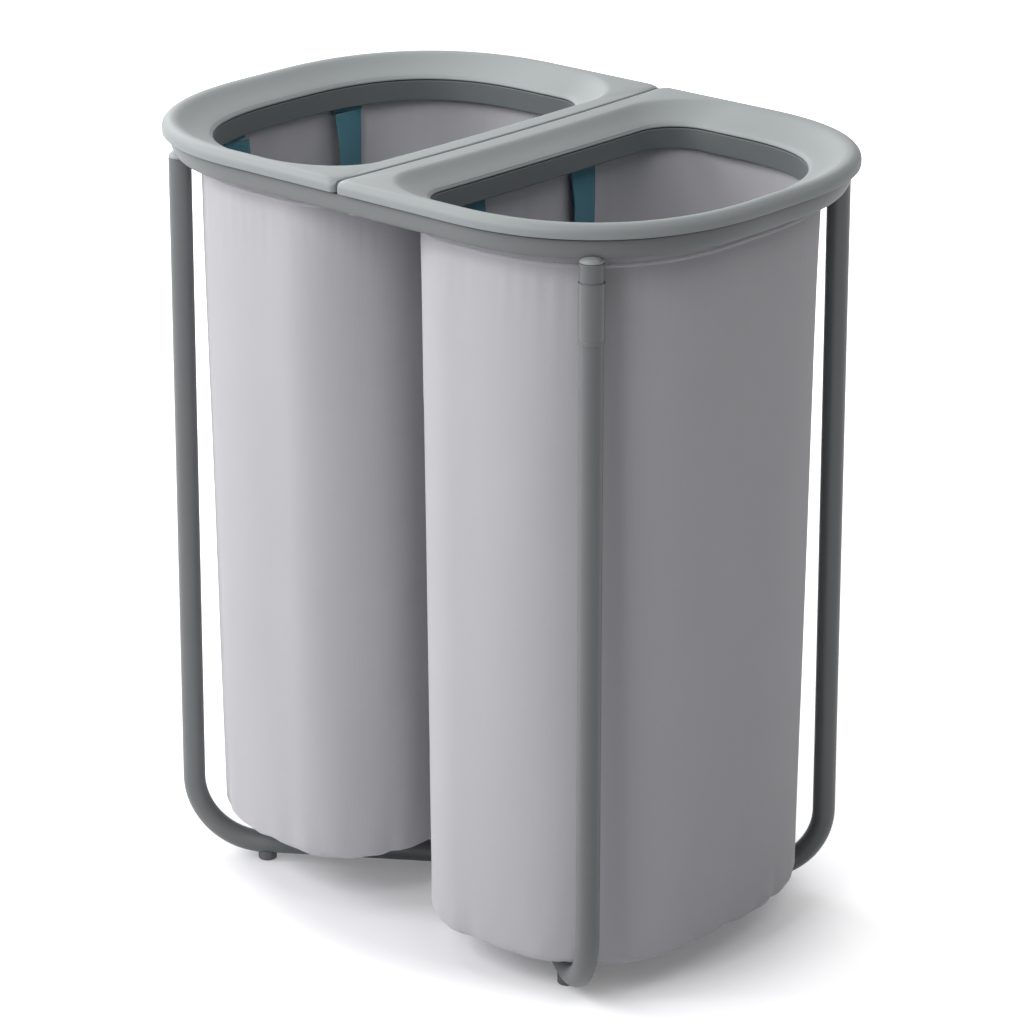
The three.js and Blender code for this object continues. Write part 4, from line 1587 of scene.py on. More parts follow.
    def hoop(self) -> Object:
        """The hoop: a flat flange on the ring with a thin skirt down inside the hem.

        Returns:
            The finished hoop.
        """
        low, top = (corner.z for corner in node_box(f"{self.title}_bag_hoop"))
        flange_low = top - self.hoop_thickness
        near = self.sizes.bag_wall + CLEARANCE
        far = near + self.hoop_skirt
        edge = self.edge
        flange, skirt = self.sizes.hoop(), self.sizes.bag()
        section = [
            (flange, flange_low),
            (flange, top - edge),
            (flange.inset(0.2 * edge), top - 0.3 * edge),
            (flange.inset(edge), top),
            (skirt.inset(far - 2 * edge), top - self.hoop_ease),
            (skirt.inset(far), top - self.hoop_ease - 2 * edge),
            (skirt.inset(far), low + edge),
            (skirt.inset(far - 0.4 * edge), low),
            (skirt.inset(near + 0.4 * edge), low),
            (skirt.inset(near), low + edge),
            (skirt.inset(near), flange_low),
        ]
        rows = [outline.loop(self.side).at(z) for outline, z in section]
        return make_mesh(f"{self.title}_hem_hoop", [loft(rows, True)], 35)

    def board(self) -> Object:
        """The board in the bag's floor: a flat sheet with rounded edges.

        Returns:
            The finished board.
        """
        low, top = (corner.z for corner in node_box(f"{self.title}_base_board"))
        outline = self.sizes.bag_at(low).inset(self.board_inset)
        radius = (top - low) / 2
        rows = [
            outline.inset(radius - out).loop(self.side).at(z)
            for out, z in arc((0.0, low + radius), radius, -90, 90, 8)
        ]
        return make_mesh(f"{self.title}_floor_board", [loft(rows, False)], 35)

    def strap(self, wall: Wall) -> Object:
        """A loop of webbing: straight down, round a half circle, and straight up again.

        Its section is a flat rounded rectangle that a slow sine moves in and out of the loop's plane.
        Its inner edge leans away from the wall as the strap leaves its tabs.

        Args:
            wall: which of the bag's walls it hangs on.

        Returns:
            The finished strap.
        """
        node = f"{self.title}_{wall.value}_handle"
        low, high = node_box(node)
        middle = high.y - self.strap_width / 2
        turn = low.z + high.y
        angle = np.linspace(0, math.pi, 49)
        drop = np.linspace(high.z, turn, 12)[:-1]
        out_y = np.concatenate([np.ones(len(drop)), np.cos(angle), -np.ones(len(drop))])
        out_z = np.concatenate([np.zeros(len(drop)), -np.sin(angle), np.zeros(len(drop))])
        y = middle * out_y
        z = np.concatenate([drop, np.full(len(angle), turn), drop[::-1]]) + middle * out_z
        way = way_along(together(y, z))
        wave = self.strap_wave * np.sin(2 * math.pi * way / self.strap_wave_length)
        wave *= ease(way / self.strap_wave_start) * ease((way[-1] - way) / self.strap_wave_start)
        section, girth = strap_section(self.strap_width, self.strap_thickness, self.strap_edge, 8)
        across, depth = section.T
        from_tab = np.minimum(way, way[-1] - way)
        inner = (1 - across / (self.strap_width / 2)) / 2
        lean = self.inward(wall) * self.strap_lean * ease(from_tab / self.strap_lean_length)[:, None] * inner
        x = node_middle(node)[0] + wave[:, None] + depth + lean
        points = together(x, y[:, None] + out_y[:, None] * across, z[:, None] + out_z[:, None] * across)
        strap = Surface(points, pattern=together(girth, way[:, None]))
        return make_mesh(f"{self.title}_{wall.value}_strap", [strap], 60)

    def inward(self, wall: Wall) -> int:
        """Which way along the middle leads from a wall into the bag."""
        return self.side.value * (1 if wall is Wall.SEAM else -1)

    def tab_plane(self, wall: Wall, y: Array) -> Array:
        """How far along the middle of a tab lies, for the front bin.

        Args:
            wall: the wall that the tab is on.
            y: places across it.

        Returns:
            The distance from the middle of the hamper at each place.
        """
        depth = self.sizes.bag_wall + CLEARANCE + self.hoop_skirt + self.tab_seat + self.strap_thickness / 2
        bag = self.sizes.bag()
        if wall is Wall.SEAM:
            return np.full(np.shape(y), bag.from_seam + depth)
        return bag.end_at(y) - depth

    def tab(self, wall: Wall, node: str) -> Object:
        """A sewn tab: a short strip of webbing that follows the hoop, with a stitched box and cross.

        Args:
            wall: the wall that the tab is on.
            node: its node.

        Returns:
            The finished tab.
        """
        low, high = node_box(node)
        inward = self.inward(wall)
        section, girth = strap_section(high.y - low.y, self.strap_thickness, self.strap_edge, 6)
        y = node_middle(node)[1] + section[:, 0]
        x = self.side.value * self.tab_plane(wall, y) + section[:, 1]
        heights = np.linspace(low.z, high.z, 8)[:, None]
        parts = [Surface(together(x, y, heights), pattern=together(girth, heights))]
        margin = self.tab_margin
        left, right = low.y + margin, high.y - margin
        down, up = low.z + margin, high.z - margin
        across = np.array([left, right, right, left])
        face = self.side.value * self.tab_plane(wall, across) + inward * self.strap_thickness / 2
        corners = together(face, across, np.array([down, down, up, up]))
        out = np.array([inward, 0.0, 0.0])
        for start, end in ((0, 1), (1, 2), (2, 3), (3, 0), (0, 2), (3, 1)):
            parts.append(self.tab_stitches.along_line(corners[start], corners[end], out))
        return make_mesh(f"{node}_webbing", parts, 60)

    def build(self) -> None:
        """Makes the bag and all that it carries, and hands each piece over."""
        title, body = self.title, self.body
        give(self.bag(), body, f"{title}_bag", "bag_fabric", BAG_CLOTH, BAG_LINING, THREAD)
        give(self.hoop(), body, f"{title}_bag_hoop", "hoop_plastic", HOOP_PLASTIC)
        give(self.board(), body, f"{title}_base_board", "board_plastic", BOARD_PLASTIC)
        for wall in Wall:
            handle = f"{title}_{wall.value}_handle"
            give(self.strap(wall), f"{handle}_body", handle, "webbing", STRAP)
            for end in ("left", "right"):
                node = f"{handle}_tab_{end}"
                give(self.tab(wall, node), body, node, "webbing", STRAP, STRAP_THREAD)


# Frame


@dataclass(frozen=True)
class Leg:
    """One bent tube with its plug, its foot and its screws, in an upright plane through the middle."""

    corner: Corner
    sizes: Sizes
    tube_edge: float = 0.35 * MM
    dome: float = 5.4 * MM
    plug_edge: float = 0.6 * MM
    plug_bevel: float = 0.25 * MM
    shank_length: float = 25 * MM
    hole_radius: float = 2.3 * MM
    hole_depth: float = 12 * MM
    screw_radius: float = 2 * MM
    head_radius: float = 3.6 * MM
    head_height: float = 2.6 * MM
    counterbore_below: float = 7.6 * MM
    foot_chamfer: float = 1.2 * MM
    grub_along: float = 48 * MM
    sleeve_wall: float = 0.5 * MM
    sleeve_length: float = 48 * MM
    sleeve_below_top: float = 15 * MM
    sleeve_groove: float = 0.18 * MM
    groove_up: float = 3.2 * MM
    sleeve_ends: Pair = (8 * MM, 4 * MM)

    @property
    def title(self) -> str:
        """The name that starts the leg's nodes."""
        return self.corner.value

    @property
    def heading(self) -> float:
        """The angle of the leg's plane, from the middle of its foot."""
        x, y, _ = node_middle(f"{self.title}_foot")
        return math.atan2(y, x)

    @property
    def bend_out(self) -> float:
        """How far out the middle of the bend lies."""
        x, y, _ = node_middle(f"{self.title}_foot")
        return math.hypot(x, y) + self.sizes.foot_past_bend

    @property
    def tube_height(self) -> float:
        """The height of the base tube's middle."""
        return node_box(f"{self.title}_leg")[0].z + self.sizes.tube_radius

    @property
    def top(self) -> float:
        """The height of the tube's upper end."""
        return self.sizes.ring_bottom - self.sizes.leg_below_ring

    @property
    def lean(self) -> float:
        """The angle by which the upright run leans in."""
        return math.atan2(self.sizes.leg_lean, self.top - self.tube_height - self.sizes.bend_radius)

    def out_at(self, out: Array | float, z: Array | float) -> Array:
        """Points in the leg's plane, from how far out they are and their heights."""
        return together(out * math.cos(self.heading), out * math.sin(self.heading), z)

    def directions(self) -> tuple[Array, Array]:
        """Unit vectors out along the base tube, and level across it."""
        out = self.out_at(1.0, 0.0)
        return out, np.array([-out[1], out[0], 0.0])

    def top_end(self) -> tuple[Array, list[Array]]:
        """The tube's upper end.

        Returns:
            Its middle, and three directions there: out, across, and up along the tube.
        """
        sine, cosine = math.sin(self.lean), math.cos(self.lean)
        up, out = self.out_at(-sine, cosine), self.out_at(cosine, sine)
        radius = self.sizes.bend_radius
        end_z = self.tube_height + radius + radius * sine
        rise = (self.top - end_z) / cosine
        place = self.out_at(self.bend_out + radius * cosine - rise * sine, self.top)
        return place, [out, np.cross(up, out), up]

    def tube(self) -> Object:
        """The tube: a circle carried along the base, round the bend and up, with its bore inside.

        Returns:
            The finished tube.
        """
        sizes = self.sizes
        radius = sizes.bend_radius
        angle = np.linspace(-QUARTER, self.lean, 29)
        bend = self.out_at(
            self.bend_out + radius * np.cos(angle), self.tube_height + radius + radius * np.sin(angle),
        )
        normals = self.out_at(np.cos(angle), np.sin(angle))
        base = self.out_at(np.linspace(sizes.tube_start, self.bend_out, 7)[:-1], self.tube_height)
        rise = np.linspace(bend[-1], self.top_end()[0], 13)[1:]
        middles = np.concatenate([base, bend, rise])
        outs = np.concatenate([
            np.broadcast_to(normals[0], base.shape), normals, np.broadcast_to(normals[-1], rise.shape),
        ])
        turn = turns(40)[None, :, None]
        around = np.cos(turn) * outs[:, None, :] + np.sin(turn) * self.directions()[1]
        edge = self.tube_edge
        tangent = middles[-1] - middles[-2]
        tangent /= np.linalg.norm(tangent)
        outer = middles[:, None, :] + around * sizes.tube_radius
        inner = middles[:, None, :] + around * (sizes.tube_radius - sizes.tube_wall)
        outer[-1] -= tangent * edge
        lip = middles[-1] + around[-1] * (sizes.tube_radius - edge)
        points = np.concatenate([outer, lip[None], inner[::-1]])
        return make_mesh(f"{self.title}_bent_tube", [Surface(points, wrap=True)], 40)

    def dome_profile(self, grown: float) -> list:
        """The plug's head: a quarter of an ellipse from the tube's edge up to the axis.

        Args:
            grown: how much larger than the head, for the seat that it fits.

        Returns:
            A list of (radius, height) points.
        """
        angle = np.linspace(0, QUARTER, 14)[:-1]
        radius = (self.sizes.tube_radius + grown) * np.cos(angle)
        height = CLEARANCE + self.plug_edge + (self.dome + grown) * np.sin(angle)
        return together(radius, height).tolist()

    def plug(self) -> Object:
        """The plug: a shank in the tube, a domed head above it, and the screw's hole down its middle.

        Returns:
            The finished plug.
        """
        shank = self.sizes.tube_radius - self.sizes.tube_wall - CLEARANCE
        radius = self.sizes.tube_radius
        head = [point for point in self.dome_profile(0.0) if point[0] > 1.3 * self.hole_radius]
        at_hole = CLEARANCE + self.plug_edge + self.dome * math.sqrt(1 - (self.hole_radius / radius) ** 2)
        profile = [
            (shank - self.foot_chamfer, -self.shank_length), (shank, self.foot_chamfer - self.shank_length),
            (shank, CLEARANCE), (radius - self.plug_bevel, CLEARANCE), (radius, CLEARANCE + self.plug_bevel),
            *head, (self.hole_radius, at_hole), (self.hole_radius, -self.hole_depth),
        ]
        return make_mesh(f"{self.title}_domed_plug", [lathe(profile).moved(*self.top_end())], 40)

    def foot(self) -> Object:
        """The foot: a round pad whose top is hollowed to the tube's round underside.

        The hollow's height is the tube's middle less the root of its radius squared less the place
        across it squared.

        Returns:
            The finished foot.
        """
        node = f"{self.title}_foot"
        low, high = node_box(node)
        radius, chamfer = (high.x - low.x) / 2, self.foot_chamfer
        angle = turns(48)
        cup = self.sizes.tube_radius + CLEARANCE

        def ring(share: float, height: float | None) -> Array:
            """A circle of a share of the radius, at a height or, where that is None, on the hollow."""
            x, y = share * radius * np.cos(angle), share * radius * np.sin(angle)
            saddle = np.minimum(self.tube_height - np.sqrt(cup ** 2 - y ** 2), high.z)
            return together(x, y, saddle if height is None else height)

        rows = [ring(0.5, 0.0)]
        rows += [ring(out / radius, z) for out, z in arc((radius - chamfer, chamfer), chamfer, -90, 0, 4)]
        rows += [ring(1.0, low.z + 0.45 * (high.z - low.z))]
        rows += [ring(share, None) for share in (1.0, 0.97, 0.8, 0.6, 0.4, 0.2)]
        x, y, _ = node_middle(node)
        pad = Surface(np.stack(rows)).moved((x, y, 0.0), [*self.directions(), UP])
        return make_mesh(f"{self.title}_foot_pad", [pad], 40)

    def counterbore(self) -> float:
        """The height of the screw head's seat above the end of the tube."""
        return self.sizes.ring_top - self.counterbore_below - self.top

    def leg_screw(self) -> Object:
        """The screw down through the ring into the plug.

        Returns:
            The finished screw.
        """
        neck = self.counterbore() + CLEARANCE
        screw = screw_body(
            self.screw_radius, self.head_radius, CLEARANCE - self.hole_depth, neck, neck + self.head_height,
        )
        return make_mesh(f"{self.title}_ring_screw", [screw.moved(*self.top_end())], 30)

    def hub_screw(self) -> Object:
        """The grub screw under the hub's socket, with its recess below.

        Returns:
            The finished screw.
        """
        node = f"{self.title}_hub_screw"
        low, high = node_box(node)
        x, y, neck = node_middle(node)
        radius = (high.x - low.x) / 2
        screw = screw_body(radius, radius, high.z, neck, low.z)
        return make_mesh(f"{self.title}_grub_screw", [screw.moved((x, y, 0.0))], 30)

    def seat_tools(self) -> list[Surface]:
        """What the ring gives up for the leg.

        Returns:
            The plug's seat, and the screw's hole with its counterbore.
        """
        radius = self.sizes.tube_radius + CLEARANCE
        seat = lathe([(radius, -OVERRUN), (radius, 0.0), *self.dome_profile(CLEARANCE)])
        bore = self.head_radius + CLEARANCE
        step, high = self.counterbore(), self.sizes.ring_top + OVERRUN - self.top
        hole = lathe([(self.hole_radius, 0.0), (self.hole_radius, step), (bore, step), (bore, high)])
        return [tool.moved(*self.top_end()) for tool in (seat, hole)]

    def sleeve(self) -> Object:
        """The bare sleeve: a thin tube with rolled ends and a pressed line above its lower end.

        Returns:
            The finished sleeve.
        """
        inside = self.sizes.tube_radius + CLEARANCE
        outside = inside + self.sleeve_wall
        high = -self.sleeve_below_top
        low = high - self.sleeve_length
        half = self.sleeve_wall / 2
        groove, line = self.sleeve_groove, low + self.groove_up
        plain = np.linspace(low + self.sleeve_ends[0], high - self.sleeve_ends[1], 5)
        section = [
            *arc((inside + half, low + half), half, 180, 360, 6),
            (outside, line - 2 * groove), (outside - groove, line), (outside, line + 2 * groove),
            *((outside, z) for z in plain),
            *arc((inside + half, high - half), half, 0, 180, 6),
        ]
        film = replace(lathe(section), wrap=True)
        return make_mesh(f"{self.title}_sleeve_film", [film.moved(*self.top_end())], 50)

    def build(self) -> None:
        """Makes the leg's pieces and hands each one over."""
        pieces = (
            (self.tube, "leg", "coated_tube", TUBE_PAINT),
            (self.plug, "leg_plug", "plug_plastic", PLUG_PLASTIC),
            (self.foot, "foot", "foot_rubber", FOOT_RUBBER),
            (self.leg_screw, "leg_screw", "screw_steel", ZINC),
            (self.hub_screw, "hub_screw", "screw_steel", ZINC),
        )
        for make, node, slot, finish in pieces:
            give(make(), "frame", f"{self.title}_{node}", slot, finish)
        if self.corner is Corner.FRONT_RIGHT:
            give(self.sleeve(), "frame", "front_leg_sleeve", "sleeve_film", SLEEVE_FILM)


def screw_body(shank: float, head: float, foot: float, neck: float, end: float) -> Surface:
    """A plain screw along Z with a six-sided recess in its head.

    The recess is its inner radius over the cosine of the turn from the nearest side's middle.

    Args:
        shank: the shank's radius.
        head: the head's radius.
        foot: height of the shank's far end.
        neck: height at which the head starts.
        end: height of the head's outer face.

    Returns:
        The closed surface.
    """
    angle = turns(48)
    inward = math.copysign(1.0, neck - end)
    edge = 0.12 * head
    socket = 0.5 * head / np.cos(angle % (math.pi / 3) - math.pi / 6)
    depth = 0.55 * abs(end - neck)
    rows = [
        (0.7 * shank, foot), (shank, foot - inward * 0.3 * shank), (shank, neck), (head, neck),
        (head, end + inward * edge), (head - 0.3 * edge, end + inward * 0.3 * edge), (head - edge, end),
        (1.06 * socket, end), (socket, end + inward * 0.3 * edge), (socket, end + inward * depth),
        (0.3 * socket, end + inward * 1.2 * depth),
    ]
    rings = [together(radius * np.cos(angle), radius * np.sin(angle), z) for radius, z in rows]
    return Surface(np.stack(rings))


@dataclass(frozen=True)
class Frame:
    """What the bags hang in: the ring, the bar under the seam, the legs and the hub."""

    sizes: Sizes
    ring_inset: float = 5.5 * MM
    ring_inside: float = 26 * MM
    ring_bottom_inset: float = 13 * MM
    ring_edge: float = 0.6 * MM
    crown_edge: float = 1.3 * MM
    crown_gap: float = 1.4 * MM
    crown_width: float = 5 * MM
    ring_heel: float = 1.6 * MM
    rebate_inset: float = 16.4 * MM
    rebate_depth: float = 4.3 * MM
    face_power: float = 0.76
    bar_edge: float = 3 * MM
    tenon_half_width: float = 10 * MM
    tenon_thickness: float = 6 * MM
    tenon_length: float = 9 * MM
    tenon_below: float = 2.5 * MM
    tenon_edge: float = 1 * MM
    hub_radius: float = 36 * MM
    hub_over_tube: float = 2.5 * MM
    hub_reach: float = 61 * MM
    hub_edge: float = 1.6 * MM
    socket_wall: float = 2.4 * MM
    cover_depth: float = 3 * MM
    cover_groove: float = 0.5 * MM

    def legs(self) -> list[Leg]:
        """The four legs."""
        return [Leg(corner, self.sizes) for corner in Corner]

    def ring(self) -> Object:
        """The ring, with a crown under the rims' lips, a rebate for the hoops, and seats for legs and bar.

        Down the outer face, the depth goes as the sine of the turn and the inset as one less its
        cosine, raised to a power below one.

        Returns:
            The finished ring.
        """
        sizes = self.sizes
        top, bottom = sizes.ring_top, sizes.ring_bottom
        crown, round_off = sizes.lip - self.crown_gap, self.crown_edge
        edge, heel = self.ring_edge, self.ring_heel
        rebate = top - self.rebate_depth
        outside, inside = self.ring_inset, self.ring_inside
        inner = outside + self.crown_width
        turn = np.linspace(0, QUARTER, 17)
        inset = outside + (self.ring_bottom_inset - outside) * (1 - np.cos(turn)) ** self.face_power
        face_top = crown - round_off
        heel_turn = np.array([0.0, 0.5, 1.0, QUARTER])
        heel_in, heel_up = heel * (1 - np.sin(heel_turn)), heel * (1 - np.cos(heel_turn))
        section = [
            *arc((outside + round_off, face_top), round_off, 90, 170, 4),
            *together(inset, face_top - (face_top - bottom) * np.sin(turn)).tolist(),
            *together(inside - heel_in, bottom + heel_up).tolist(),
            (inside, rebate - edge), (inside - edge, rebate), (self.rebate_inset, rebate),
            (self.rebate_inset, top - edge), (self.rebate_inset - edge, top),
            (inner, top), (inner, crown - edge), (inner - edge, crown),
        ]
        rows = [sizes.rim().inset(x).whole().at(z) for x, z in section]
        body = make_mesh("smooth_ring", [loft(rows, True)])
        tools = [tool for leg in self.legs() for tool in leg.seat_tools()]
        tools += [self.tenon(CLEARANCE), *self.bar_screw_holes()]
        return carve(body, tools, Cut.REMOVE)

    def bar_reach(self) -> float:
        """How far across the bar runs from the middle, without its tenons."""
        return self.sizes.rim().to_side - self.ring_inside - CLEARANCE

    def tenon_top(self) -> float:
        """The height of the tenons' upper face."""
        return node_box("centre_bar")[1].z - self.tenon_below

    def beam(self, half_width: float, low: float, high: float, reach: float, edge: float) -> Surface:
        """A straight beam along Y whose section is a rounded rectangle, with eased ends.

        Args:
            half_width: half its width.
            low: height of its underside.
            high: height of its top.
            reach: half its length.
            edge: radius of its long edges.

        Returns:
            The closed surface.
        """
        shrink = 0.4 * edge
        rows = []
        for y, less in ((-reach, shrink), (shrink - reach, 0.0), (reach - shrink, 0.0), (reach, shrink)):
            across, up = rounded(half_width - less, (high - low) / 2 - less, edge).T
            rows.append(together(across, y, (low + high) / 2 + up))
        return Surface(np.stack(rows))

    def tenon(self, grown: float) -> Surface:
        """The tenons at both ends of the bar, as one beam right through it.

        Args:
            grown: how much larger than the tenons, for the holes that they fit.

        Returns:
            The closed surface.
        """
        top = self.tenon_top()
        reach = self.bar_reach() + self.tenon_length + grown
        width, low = self.tenon_half_width + grown, top - self.tenon_thickness - grown
        return self.beam(width, low, top + grown, reach, self.tenon_edge)

    def bar_screw_holes(self) -> list[Surface]:
        """The holes up through the ring into the tenons.

        Returns:
            Two closed surfaces.
        """
        leg = self.legs()[0]
        top = self.tenon_top() - leg.screw_radius + CLEARANCE
        hole = rod(leg.hole_radius, self.sizes.ring_bottom - OVERRUN, top)
        out = self.bar_reach() + self.tenon_length / 2
        return [hole.moved((0.0, side * out, 0.0)) for side in (-1, 1)]

    def bar(self) -> Object:
        """The bar under the seam, with a tenon at each end.

        Returns:
            The finished bar.
        """
        low, high = node_box("centre_bar")
        body = make_mesh("seam_bar", [self.beam(high.x, low.z, high.z, self.bar_reach(), self.bar_edge)])
        carve(body, [self.tenon(0.0)], Cut.JOIN)
        return carve(body, self.bar_screw_holes(), Cut.REMOVE)

    def bar_screw(self, end: str) -> Object:
        """One of the screws up into the bar's tenons, head down.

        Args:
            end: left or right.

        Returns:
            The finished screw.
        """
        node = f"centre_bar_screw_{end}"
        low, high = node_box(node)
        leg = self.legs()[0]
        screw = screw_body(leg.screw_radius, leg.head_radius, high.z, low.z + leg.head_height, low.z)
        return make_mesh(f"bar_screw_{end}", [screw.moved((0.0, node_middle(node)[1], 0.0))], 30)

    def spoke(self, leg: Leg, radius: float, start: float, end: float, edge: float = 0.0) -> Surface:
        """A round body that lies along a leg's base tube, as rod makes it but from start to end."""
        out, across = leg.directions()
        return rod(radius, start, end, edge).moved((0.0, 0.0, leg.tube_height), [across, UP, out])

    def hub(self) -> Object:
        """The hub: a round middle joined with four sockets, then bored for tubes, cover and screws.

        Returns:
            The finished hub.
        """
        legs, sizes = self.legs(), self.sizes
        middle = legs[0].tube_height
        half = sizes.tube_radius + self.hub_over_tube
        bore = sizes.tube_radius + CLEARANCE
        socket = bore + self.socket_wall
        cover_low, cover_high = node_box("hub_cover")
        recess = cover_high.x + CLEARANCE
        start, reach, edge = sizes.tube_start, self.hub_reach, self.hub_edge
        body = make_mesh("hub_shell", [rod(self.hub_radius, middle - half, middle + half, edge)])
        carve(body, [self.spoke(leg, socket, start - OVERRUN, reach, edge / 2) for leg in legs], Cut.JOIN)
        tools = [self.spoke(leg, bore, start - CLEARANCE, reach + OVERRUN) for leg in legs]
        tools.append(rod(recess, cover_low.z - CLEARANCE, middle + half + OVERRUN))
        grub = rod(legs[0].screw_radius + CLEARANCE, middle - socket - OVERRUN, middle)
        tools += [grub.moved(leg.out_at(leg.grub_along, 0.0)) for leg in legs]
        return carve(body, tools, Cut.REMOVE)

    def hub_cover(self) -> Object:
        """The cover over the hub's middle: a shallow disc with one turned groove.

        Returns:
            The finished cover.
        """
        low, high = node_box("hub_cover")
        radius, groove = high.x, self.cover_groove
        edge = low.z + self.cover_depth
        ring = 0.72 * radius
        profile = [
            (radius, low.z), (radius, edge - groove), (radius - 0.3 * groove, edge - 0.3 * groove),
            (radius - groove, edge), (ring + groove, high.z - 0.1 * groove),
            (ring + 0.4 * groove, high.z - groove), (ring - 0.4 * groove, high.z - groove),
            (ring - groove, high.z), (0.2 * ring, high.z),
        ]
        return make_mesh("hub_cap", [lathe(profile, 64)], 35)

    def build(self) -> None:
        """Makes the frame's pieces and hands each one over."""
        give(self.ring(), "frame", "top_ring", "ring_plastic", RING_PLASTIC)
        give(self.bar(), "frame", "centre_bar", "ring_plastic", RING_PLASTIC)
        for end in ("left", "right"):
            give(self.bar_screw(end), "frame", f"centre_bar_screw_{end}", "screw_steel", ZINC)
        for leg in self.legs():
            leg.build()
        give(self.hub(), "frame", "hub", "plug_plastic", PLUG_PLASTIC)
        give(self.hub_cover(), "frame", "hub_cover", "ring_plastic", RING_PLASTIC)


# Studio


def stand(thing: Object, azimuth: float, elevation: float, away: float, aim: float) -> None:
    """Stands a lamp or camera round the hamper, facing the hamper's middle.

    The way back from what it faces is the sine and cosine of the azimuth times the elevation's
    cosine, and the elevation's sine.

    Args:
        thing: the lamp or camera.
        azimuth: degrees from -Y towards +X.
        elevation: degrees above the floor.
        away: how far it stands from what it faces.
        aim: the height that it faces.
    """
    turn, rise = math.radians(azimuth), math.radians(elevation)
    back = Vector((math.sin(turn) * math.cos(rise), -math.cos(turn) * math.cos(rise), math.sin(rise)))
    thing.location = Vector((0.0, 0.0, aim)) + back * away
    thing.rotation_euler = (-back).to_track_quat("-Z", "Y").to_euler()


@dataclass(frozen=True)
class Lamp:
    """A soft square lamp that points at the middle of the hamper. Its power is in watts."""

    name: str
    azimuth: float
    elevation: float
    power: float
    in_reflections: bool = True
    away: float = 2.6
    size: float = 1.2
    aim: float = 0.35

    def build(self) -> None:
        """Makes the lamp, which the camera doesn't see."""
        data = bpy.data.lights.new(self.name, "AREA")
        data.size = self.size
        data.energy = self.power
        lamp = add_object(self.name, data)
        stand(lamp, self.azimuth, self.elevation, self.away, self.aim)
        lamp.visible_camera = False
        lamp.visible_glossy = self.in_reflections


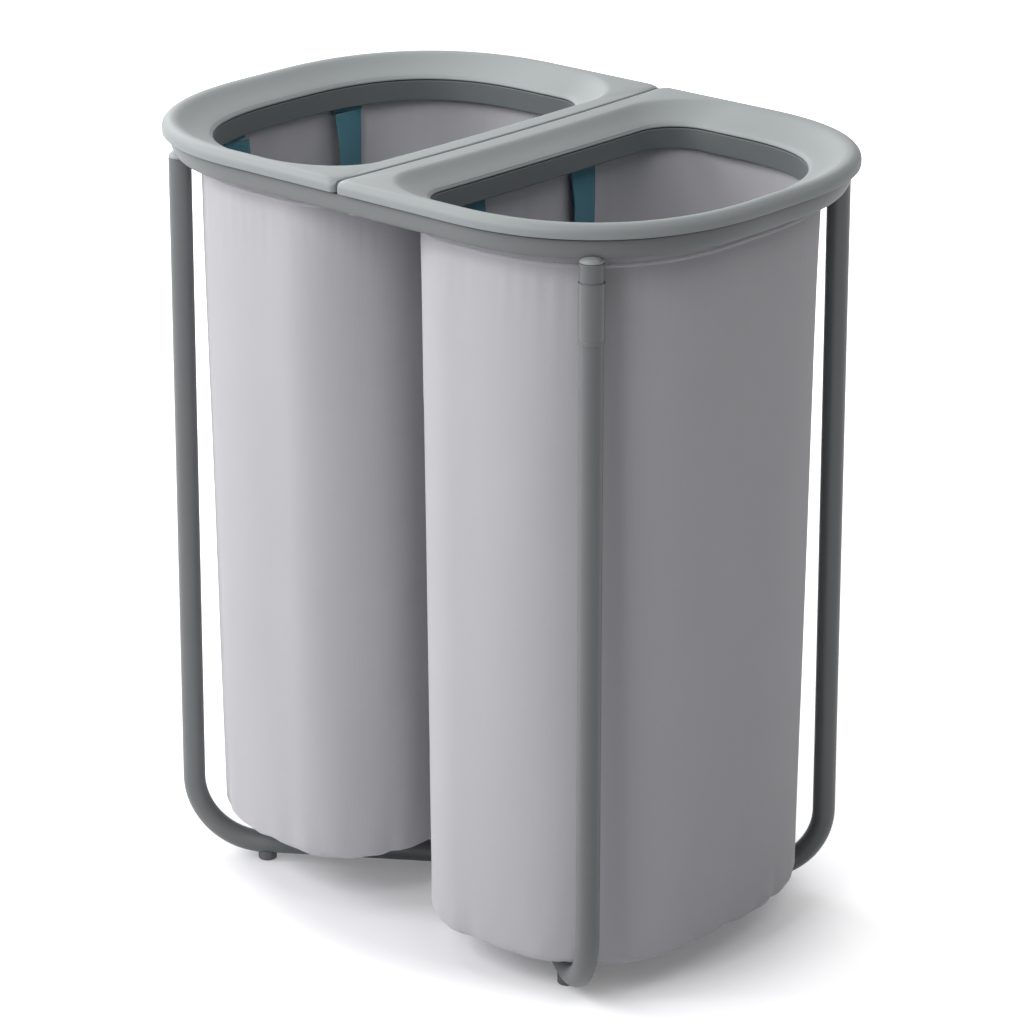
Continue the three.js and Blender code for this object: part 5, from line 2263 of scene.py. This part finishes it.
@dataclass(frozen=True)
class Studio:
    """The white floor, the lamps, the plain world and the camera.

    The floor glows less inside an ellipse round the hamper, which paints a darker, shadow-shaped patch over
    the real shadow. The ellipse's half size and its shift are along X and Y, and the shift is counted
    backwards and in half sizes. The other pairs hold for where the floor's glow starts to rise and for
    where it stops.
    """

    floor_half: float = 30.0
    floor_colour: str = "#E9E9EC"
    # Painted shadow: an ellipse of weaker glow round the hamper, its size, shift, edges and glow
    painted_shadow_size: Pair = (0.303, 0.218)
    painted_shadow_shift: Pair = (0.076, -0.036)
    painted_shadow_edge: Pair = (0.8, 1.24)
    painted_shadow_glow: Pair = (0.15, 0.65)
    far_edge: Pair = (1.2, 9.0)
    far_glow: float = 0.45
    world_light: float = 0.06
    camera_back: float = 3.0587
    camera_azimuth: float = 41.66
    camera_elevation: float = 20.91
    camera_aim: float = 0.330
    lens: float = 128.5
    sensor: float = 36.0
    sight: float = 100.0
    shift: Pair = (0.00583, 0.00314)
    lamps: tuple[Lamp, ...] = (
        Lamp("left wall", -110, 12, 17.0, False),
        Lamp("left edge", -110, 12, 14.0),
        Lamp("left boom", -110, 35, 16.5),
        Lamp("key", -50, 31, 34.5),
        Lamp("high key", -75, 62, 15.0),
        Lamp("front", 0, 37, 25.5),
        Lamp("back", 140, 35, 7.0),
        Lamp("right boom", 90, 55, 7.6),
    )

    def floor(self) -> None:
        """The floor. Where it is seen it glows so that it is white, and it glows less inside an ellipse
        round the hamper, which paints a darker, shadow-shaped patch over the real shadow.
        """
        size = self.floor_half
        mesh = bpy.data.meshes.new("studio_floor")
        corners = [(-size, -size, 0), (size, -size, 0), (size, size, 0), (-size, size, 0)]
        mesh.from_pydata(corners, [], [(0, 1, 2, 3)])
        floor = add_object("studio_floor", mesh)
        paper, shader = new_material("white paper floor", {
            "Base Color": linear(self.floor_colour), "Roughness": 1.0, "Specular IOR Level": 0.0,
            "Emission Color": WHITE,
        })
        tree = paper.node_tree
        place = add_node(tree, "ShaderNodeTexCoord").outputs["Object"]
        along, across = self.painted_shadow_size
        # Painted shadow: inside this ellipse the floor glows less, so it is darker round the hamper than the
        # lamps make it
        painted_shadow_spot = {"Location": (*self.painted_shadow_shift, 0.0), "Scale": (1 / along, 1 / across, 1.0)}
        share = add_node(tree, "ShaderNodeMapping", painted_shadow_spot, {"Vector": place}).outputs[0]
        out = add_node(tree, "ShaderNodeVectorMath", links={0: share}, operation="LENGTH").outputs["Value"]
        near, far = (
            add_node(
                tree, "ShaderNodeMapRange",
                {"From Min": edge[0], "From Max": edge[1], "To Min": glow[0], "To Max": glow[1]},
                {"Value": out}, interpolation_type="SMOOTHSTEP",
            ).outputs["Result"]
            for edge, glow in ((self.painted_shadow_edge, self.painted_shadow_glow), (self.far_edge, (0.0, self.far_glow)))
        )
        lift = add_node(tree, "ShaderNodeMath", links={0: near, 1: far}, operation="ADD").outputs[0]
        both = {0: lift, 1: self.seen(tree)}
        glow = add_node(tree, "ShaderNodeMath", links=both, operation="MULTIPLY").outputs[0]
        tree.links.new(glow, shader.inputs["Emission Strength"])
        mesh.materials.append(paper)

    def seen(self, tree: Tree) -> Socket:
        """Whether a ray sees things, or only lights them.

        Args:
            tree: the material's or the world's node tree.

        Returns:
            1 for rays from the camera and from gloss or glass, and 0 for others.
        """
        path = add_node(tree, "ShaderNodeLightPath").outputs
        seen = path["Is Camera Ray"]
        for ray in ("Is Glossy Ray", "Is Transmission Ray"):
            both = {0: seen, 1: path[ray]}
            seen = add_node(tree, "ShaderNodeMath", links=both, operation="MAXIMUM").outputs[0]
        return seen

    def world(self) -> None:
        """The world: white where it is seen, and a weak even light elsewhere."""
        world = bpy.data.worlds.new("studio")
        world.use_nodes = True
        tree = world.node_tree
        ends = {"To Min": self.world_light, "To Max": 1.0}
        strength = add_node(tree, "ShaderNodeMapRange", ends, {"Value": self.seen(tree)}).outputs["Result"]
        background = tree.nodes["Background"]
        set_inputs(background, {"Color": WHITE})
        tree.links.new(strength, background.inputs["Strength"])
        bpy.context.scene.world = world

    def camera(self) -> None:
        """The camera, back from its aim along its azimuth and elevation."""
        data = bpy.data.cameras.new("camera")
        data.lens = self.lens
        data.sensor_width = self.sensor
        data.shift_x, data.shift_y = self.shift
        data.clip_end = self.sight
        camera = add_object("camera", data)
        stand(camera, self.camera_azimuth, self.camera_elevation, self.camera_back, self.camera_aim)
        bpy.context.scene.camera = camera

    def build(self) -> None:
        """Sets up everything round the hamper."""
        self.floor()
        self.world()
        self.camera()
        for lamp in self.lamps:
            lamp.build()
        bpy.context.scene.view_settings.view_transform = "Standard"


def main() -> None:
    """Builds the studio and the hamper, and reports each piece."""
    logging.basicConfig(level=logging.INFO, format="%(name)s: %(message)s")
    Studio().build()
    sizes = Sizes()
    Frame(sizes).build()
    for side, seed in ((Bin.REAR, 11), (Bin.FRONT, 24)):
        BagSet(side, sizes, seed).build()
        RimSet(side, sizes).build()


if __name__ == "__main__":
    main()
